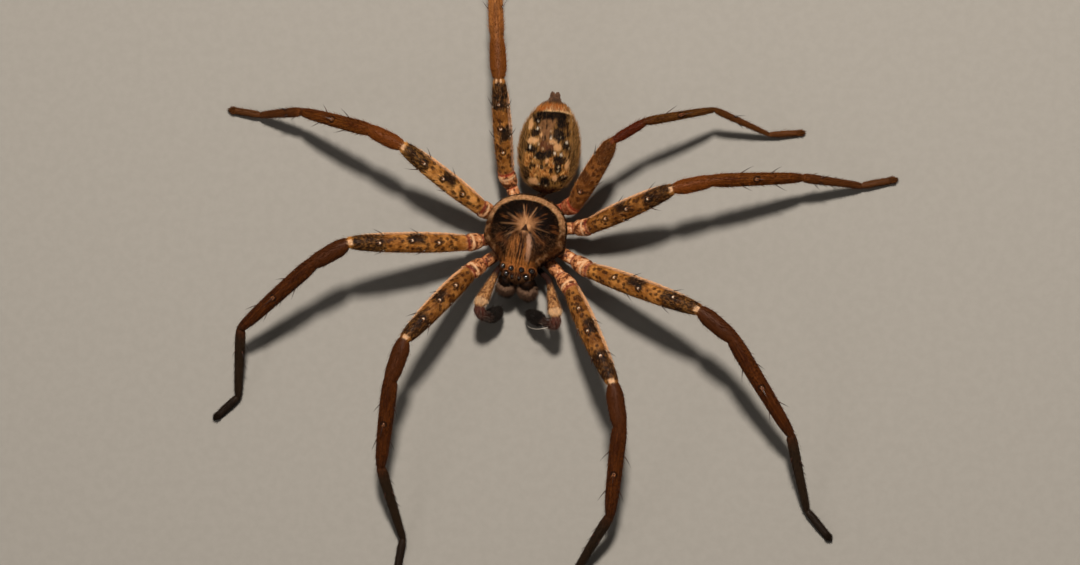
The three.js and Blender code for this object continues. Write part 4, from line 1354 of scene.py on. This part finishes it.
ENDITE_GIRTH = [(0, 0.4, 0.4), (0.3, 0.56, 0.5), (0.8, 0.56, 0.48), (1, 0.36, 0.3)]


def mirrored(places, side):
    """Joints on the body from places on its left, or from their twins on its right."""
    return [on_body(ahead, left * side, height) for ahead, left, height in places]


def make_underside():
    bare, furry = furry_looks("underside", underside_marks, paint(150, 124, 98))
    make_flanks(bare)
    coat = make_breastplate(bare)
    for name, side in SIDES.items():
        form = limb(mirrored(ENDITE, side), ENDITE_GIRTH, COAT_DEPTH["underside"])
        skin("mouthpart_" + name, form, even(30), 28, bare, ["endite_" + name])
        coat.over(form).grow(700, length=0.32, width=0.04, rise=30, low=0.2, curl=10, pale=0.4)
    coat.build("coat_underside", furry, "underside")


JAW_GIRTH = [
    (0, 0.45, 0.45), (0.1, 0.72, 0.7), (0.3, 0.96, 0.94), (0.55, 1.08, 1.12), (0.85, 1.13, 1.2),
    (1.1, 1.13, 1.18), (1.6, 1.0, 0.98), (1.92, 0.78, 0.76), (2, 0.55, 0.55),
]
FANG_GIRTH = [(0, 0.28, 0.28), (0.6, 0.27, 0.27), (1.3, 0.2, 0.2), (1.8, 0.09, 0.09), (2, 0.02, 0.02)]


def fang_facts(base, station, angle):
    return {"tip": station / 2, **place_facts(base, station, angle)}


def jaw_front(station, angle, base, out):
    return smooth(-0.1, 0.6, out @ AHEAD)


def make_jaws():
    bare, furry = furry_looks("jaw", jaw_marks, paint(128, 98, 78))
    horn = chitin_look("fang_horn", paint(10, 6, 5), paint(58, 20, 10), 0.16, 0.7)
    for name, side in SIDES.items():
        joints = mirrored(CHELICERA, side)
        form = limb(joints, JAW_GIRTH, COAT_DEPTH["jaw"], before=-UP, after=-UP, facing=AHEAD)
        skin("jaw_" + name, form, even(70), 56, bare, ["chelicera_" + name])
        coat = Coat(form)
        coat.grow(5200, length=0.32, width=0.036, rise=14, stray=0.3)
        tuft = {"low": 0.35, "high": 1.05, "weight": jaw_front}
        coat.grow(700, length=0.85, width=0.04, rise=36, curl=26, pale=0.9, stray=0.4, **tuft)
        coat.grow(500, length=0.75, width=0.035, rise=32, low=1.0, curl=20, stray=0.4)
        coat.build("coat_jaw_" + name, furry, "jaw")
        form = limb(mirrored(FANG, side), FANG_GIRTH, 0.0, before=-UP, facing=AHEAD)
        skin("fang_horn_" + name, form, even(60), 20, horn, ["fang_" + name], fang_facts)


# Legs


def joints_of(limb_sizes):
    """Joints from a hip, then a length, a heading and a height for each part."""
    height = limb_sizes["height"]
    joints = [np.array([*limb_sizes["hip"], height[0]])]
    for i, (reach, heading) in enumerate(zip(limb_sizes["length"], limb_sizes["heading"])):
        climb = height[i + 1] - height[i]
        plan = math.sqrt(reach * reach - climb * climb)
        joints.append(joints[-1] + compass(heading) * plan + UP * climb)
    return joints


def leg_form(name, leg):
    side, number = name.split("_")
    joints = joints_of(leg)
    angle = math.radians(ROOT_ANGLES[int(number) - 1]) * SIDES[side]
    long, wide = STERNUM["half"] + COXA["gap"], STERNUM["width"] + COXA["gap"]
    root = on_body(STERNUM["ahead"] + long * math.cos(angle), wide * math.sin(angle), COXA["low"])
    outward = unit(AHEAD * math.cos(angle) / long + LEFT * math.sin(angle) / wide)
    elbow = root + (joints[0] - root) * COXA["share"]
    elbow[2] = COXA["high"]
    femur, tibia, metatarsus, tarsus = leg["stout"]
    stout = (
        [0, 2, 2.1, 2.9, 3.1, 4.9, 5.1, 5.9, 6.1, 7],
        [1, 1, femur, femur, tibia, tibia, metatarsus, metatarsus, tarsus, tarsus],
    )
    return limb(
        [root - outward * COXA["sunk"], elbow, *joints],
        LEG_GIRTH,
        COAT_DEPTH["leg"],
        before=outward,
        bows=LEG_BOWS,
        notches=LEG_NOTCHES,
        stout=stout,
    )


def grown_spines(name):
    """The spines of a leg, each a little off its place. The regrown leg has every third one."""
    spines = LEG_SPINES[::3] if name == REGROWN else LEG_SPINES
    strays = draw.standard_normal(len(spines))
    return [
        (station * (1 + 0.004 * stray), angle + 6 * stray, length)
        for (station, angle, length), stray in zip(spines, strays)
    ]


def curved_spike(skin_at, aim, towards, length, half, curl=SPINE["curl"], rows=7):
    """A thin spike that leaves the skin along aim and bends towards another direction."""
    share = np.linspace(0, 1, rows)
    bend = math.radians(curl) * share[:, None]
    along = unit(aim * np.cos(bend) + towards * np.sin(bend))
    step = length / (rows - 1)
    at = skin_at + np.cumsum(along * step, axis=0) - along[0] * (step + SPINE["sunk"])
    size = half * np.maximum(1 - share**1.6, 0.06)
    up = unit(np.cross(along, np.cross(aim, towards)))
    vertices, tips, _ = Form(share, at, along, up, size, size).rings(share, SPINE["sides"])
    return vertices, tips, ringed(share, SPINE["sides"])


def dome(middle, out, dark):
    """A small flattened button, the socket of a spine: near-white on a thigh, partly as a painted highlight,
    and dark on a shin.
    """
    share = np.linspace(0, 1, 5)
    turn = share * np.pi / 2
    size = SOCKET["half"]
    at = middle + out * size * (np.sin(turn)[:, None] * SOCKET["rise"] - SOCKET["sunk"])
    up = unit(np.cross(out, np.array([0.3, 0.5, 0.81])))
    width = np.maximum(size * np.cos(turn), 0.004)
    vertices, _, _ = Form(share, at, out, up, width, width).rings(share, SOCKET["sides"])
    return vertices, np.full(len(vertices), float(dark)), ringed(share, SOCKET["sides"])


def gathered(name, shapes, material):
    """One mesh from several closed shapes, each with its vertices, tip shares, faces and corners."""
    start = 0
    quads, fans, quad_corners, fan_corners = [], [], [], []
    for number, (vertices, _, (faces, corners)) in enumerate(shapes):
        corners = corners * [1, 0.94 / len(shapes)] + [0, number / len(shapes)]
        count = faces[0].size
        quads.append(faces[0] + start)
        fans += [rows + start for rows in faces[1:]]
        quad_corners.append(corners[:count])
        fan_corners.append(corners[count:])
        start += len(vertices)
    vertices = np.concatenate([shape[0] for shape in shapes])
    facts = {"root": vertices, "tip": np.concatenate([shape[1] for shape in shapes])}
    faces = [np.concatenate(quads), np.concatenate(fans)]
    piece(name, vertices, faces, np.concatenate(quad_corners + fan_corners), facts, material)


def claws(form):
    """The two claws of a foot, side by side."""
    top = np.array([np.pi / 2])
    toe = form.point(np.array([CLAW["station"]]), top)[0]
    onward = form.frame(np.array([CLAW["aimed_at"]]), top)[0][0]
    across = np.cross(onward, UP)
    for side in SIDES.values():
        aim = unit(onward + CLAW_AIM["splay"] * side * across + CLAW_AIM["climb"] * UP)
        root = toe + across * side * CLAW["apart"] - UP * CLAW["drop"]
        yield curved_spike(root, aim, -UP, CLAW["length"], CLAW["half"])


def make_leg(name, leg, horn, socket):
    form = leg_form(name, leg)
    spines = grown_spines(name)
    stations, angles, lengths = np.array(spines).T
    angles = np.radians(angles)
    bases = form.point(stations, angles)
    onward, _, out = form.frame(stations, angles)

    def facts(base, station, angle):
        """Where a root is on the leg, and how far from the nearest spine."""
        away = np.full(len(base), 9.0)
        for at, turn in zip(bases, angles):
            ring = 0.0 if math.sin(turn) > 0.9 else SOCKET["small_ring"]
            away = np.minimum(away, np.linalg.norm(base - at, axis=1) + ring)
        return {"spot": away, **place_facts(base, station, angle)}

    tints = tints_of(name)
    rear_side = 1 if name.startswith("right") else -1
    bare, furry = furry_looks("leg_" + name, lambda look: leg_marks(look, tints, rear_side), PALE_HAIR)
    nodes = [f"leg_{name}_{part}" for part in ("femur", "tibia", "metatarsus", "tarsus")]
    skin("skin_leg_" + name, form, even(260), 30, bare, nodes, facts)

    shapes = []
    sockets = []
    for base, along, face, station, length in zip(bases, onward, out, stations, lengths):
        lean = math.radians(SPINE["lean"] + 5 * draw.standard_normal())
        aim = face * math.cos(lean) + along * math.sin(lean)
        reach = length * (1 + 0.1 * draw.standard_normal())
        shapes.append(curved_spike(base, aim, along, reach, SPINE["half"]))
        sockets.append(dome(base, face, dark=station > 3))
    gathered("spines_leg_" + name, [*shapes, *claws(form)], horn)
    gathered("sockets_leg_" + name, sockets, socket)
    make_leg_coat(name, form, facts, furry)


# The lit side of a thigh, where pale hairs and a pale line are painted sheen of lit hairs
LIT_SIDE = unit(np.array([0.25, 0.97, 0.0]))
FUR_LENGTH = ([0, 2, 3, 5, 7], [0.24, 0.28, 0.4, 0.42, 0.34])


def leg_fur(station, angle, base, out):
    thin = np.interp(station, [0, 1, 1.9, 2.2, 6, 7], [0.4, 0.45, 0.55, 1, 1, 1.2])
    return thin * np.where(base[..., 2] < 0.12, 0, 1)


# Where pale hairs grow on a thigh's lit side; their paleness is painted sheen
def lit_side_sheen(station, angle, base, out):
    edge = smooth(0.4, 0.85, out @ LIT_SIDE) * smooth(0.6, 0.25, np.abs(out[..., 2]))
    return edge * band(2.05, 2.8, 0.08, station)


def standing_out(station, angle, base, out):
    return np.interp(station, [1.9, 2.1, 6, 6.8], [0.2, 1, 1, 0.3]) * np.where(out[..., 2] < -0.9, 0.3, 1)


def sole(station, angle, base, out):
    below = smooth(-0.1, -0.6, out[..., 2]) * np.where(base[..., 2] < 0.1, 0, 1)
    return below * smooth(5.15, 5.6, station)


def toe_end(station, angle, base, out):
    return smooth(6.75, 6.95, station)


def make_leg_coat(name, form, facts, material):
    """Short flat fur, longer hairs that stand out, pale hairs as painted sheen on the thigh's lit side, and
    a brush below.
    """
    count = 13500 if name == REGROWN else 15000
    coat = Coat(form, facts)
    coat.grow(count, length=FUR_LENGTH, width=0.038, rise=10, low=0.3, weight=leg_fur, stray=0.18)
    coat.grow(500, length=0.36, width=0.03, rise=14, low=1, high=3, weight=leg_fur, stray=0.2, pale=0.5)
    coat.grow(1500, length=0.65, width=0.03, rise=34, low=1.9, high=6.6, weight=standing_out, curl=20)
    # Pale hairs on the thigh's lit side: painted sheen of lit hairs
    fringe = {"low": 1.9, "high": 3, "weight": lit_side_sheen, "curl": 18, "pale": 1.0, "tone": 0.8}
    coat.grow(700, length=0.55, width=0.034, rise=22, **fringe)
    coat.grow(900, length=0.4, width=0.045, rise=50, low=5, high=7, weight=sole, curl=15, tone=0.1)
    coat.grow(220, length=0.5, width=0.05, rise=35, low=6.6, high=7, weight=toe_end, curl=10, tone=0.05)
    coat.build("coat_leg_" + name, material, "leg")


def make_legs():
    horn = chitin_look("spine_horn", paint(16, 10, 8), paint(70, 36, 20), 0.22, 0.6)
    # The near-white of the thighs' sockets is partly a painted highlight for the glint at each spine base
    socket = chitin_look("spine_socket", paint(70, 40, 24), paint(226, 206, 180), 0.2, 0.6)
    for name, leg in LEGS.items():
        make_leg(name, leg, horn, socket)


# Palps


def palp_end(station, angle, base, out):
    return smooth(3.6, 4.4, station)


def rooted(form, station, angle, forward):
    """Where a bristle leaves the skin, its aim, and the directions onward and out of the skin there."""
    spot, turn = np.array([station]), np.radians([angle])
    onward, _, out = (directions[0] for directions in form.frame(spot, turn))
    return form.point(spot, turn)[0], unit(out + onward * forward), onward, out


def make_palp(name, palp, bare, furry, horn):
    root = on_body(PALP_ROOT[0], PALP_ROOT[1] * SIDES[name], PALP_ROOT[2])
    form = limb([root, *joints_of(palp)], PALP_GIRTH, COAT_DEPTH["palp"], notches=PALP_NOTCHES)
    nodes = [f"palp_{name}_{part}" for part in ("femur", "tibia", "tarsus")]
    skin("skin_palp_" + name, form, even(170), 30, bare, nodes)
    coat = Coat(form)
    coat.grow(5600, length=0.28, width=0.034, rise=12, stray=0.2)
    coat.grow(500, length=0.55, width=0.03, rise=34, low=1.2, high=4, curl=22, pale=0.3)
    brush = {"low": 3.5, "weight": palp_end, "curl": 30}
    coat.grow(1100, length=0.6, width=0.034, rise=34, pale=0.05, stray=0.35, **brush)
    coat.build("coat_palp_" + name, furry, "palp")
    shapes = []
    for station, angle in PALP_BRISTLES:
        base, aim, onward, _ = rooted(form, station, angle, PALP_BRISTLE["forward"])
        shapes.append(curved_spike(base, aim, onward, PALP_BRISTLE["length"], PALP_BRISTLE["half"]))
    gathered("bristles_palp_" + name, shapes, horn)
    return form


def make_long_bristle(form):
    """The one long pale bristle that bends forward over the left palp."""
    pale_horn = chitin_look("pale_bristle", paint(214, 202, 188), paint(190, 178, 164), 0.25, 0.6)
    station, angle, length, half, curl, forward_share = LONG_BRISTLE.values()
    base, aim, onward, out = rooted(form, station, angle, forward_share)
    whisker = curved_spike(base, aim, unit(onward - out * 0.9), length, half, curl, rows=24)
    gathered("long_bristle_palp_left", [whisker], pale_horn)


def make_palps():
    bare, furry = furry_looks("palp", palp_marks, paint(150, 134, 120))
    horn = chitin_look("palp_bristle", paint(12, 10, 10), paint(44, 30, 24), 0.2, 0.6)
    for name, palp in PALPS.items():
        form = make_palp(name, palp, bare, furry, horn)
        if name == "left":
            make_long_bristle(form)


# Floor, light and camera


def make_floor():
    mesh = bpy.data.meshes.new("floor")
    size = FLOOR_HALF * METRES
    corners = [(x * size, y * size, 0.0) for x, y in ((-1, -1), (1, -1), (1, 1), (-1, 1))]
    mesh.from_pydata(corners, [], [(0, 1, 2, 3)])
    mesh.materials.append(floor_look())
    floor = bpy.data.objects.new("floor", mesh)
    bpy.context.scene.collection.objects.link(floor)


def aimed(direction, target, distance):
    """Where something stands that looks at the target from a direction, with +Y towards its top."""
    back = unit(np.asarray(direction, float))
    top = unit(np.array([0.0, 1.0, 0.0]) - back * back[1])
    right = np.cross(top, back)
    at = (np.asarray(target) + back * distance) * METRES
    placed = Matrix([[*row, spot] for row, spot in zip(np.column_stack([right, top, back]), at)])
    placed.resize_4x4()
    return placed


def add_light(name, direction, distance, size, power, tint):
    lamp = bpy.data.lights.new(name, "AREA")
    lamp.shape = "DISK"
    lamp.size = size * METRES
    lamp.energy = power
    lamp.color = tint
    made = bpy.data.objects.new(name, lamp)
    made.matrix_world = aimed(direction, (0, 0, 5), distance)
    bpy.context.scene.collection.objects.link(made)


def make_light():
    """A warm light high behind the spider, a weak wide one ahead on its right and a faint glow all round."""
    add_light("key_light", (0.1, 0.45, 1.0), distance=500, size=60, power=4.0, tint=WARM_WHITE)
    add_light("fill_light", (-0.8, -0.5, 0.8), distance=600, size=300, power=0.4, tint=(1.0, 0.97, 0.94))
    world = bpy.data.worlds.new("studio")
    world.use_nodes = True
    background = world.node_tree.nodes["Background"]
    background.inputs["Color"].default_value = (*WARM_WHITE, 1.0)
    background.inputs["Strength"].default_value = 0.1
    bpy.context.scene.world = world
    bpy.context.scene.view_settings.view_transform = "Standard"


def make_camera():
    lens = bpy.data.cameras.new("camera")
    lens.lens = LENS
    lens.sensor_width = SENSOR
    lens.sensor_fit = "HORIZONTAL"
    lens.clip_start = 0.01
    camera = bpy.data.objects.new("camera", lens)
    east = math.sin(math.radians(CAMERA["east"]))
    ahead = -math.sin(math.radians(CAMERA["ahead"]))
    back = (east, ahead, math.sqrt(1 - east * east - ahead * ahead))
    camera.matrix_world = aimed(back, CAMERA["target"], CAMERA["distance"])
    bpy.context.scene.collection.objects.link(camera)
    bpy.context.scene.camera = camera


make_camera()
make_light()
make_floor()
make_carapace()
make_eyes()
make_abdomen()
make_waist()
make_spinnerets()
make_underside()
make_jaws()
make_palps()
make_legs()
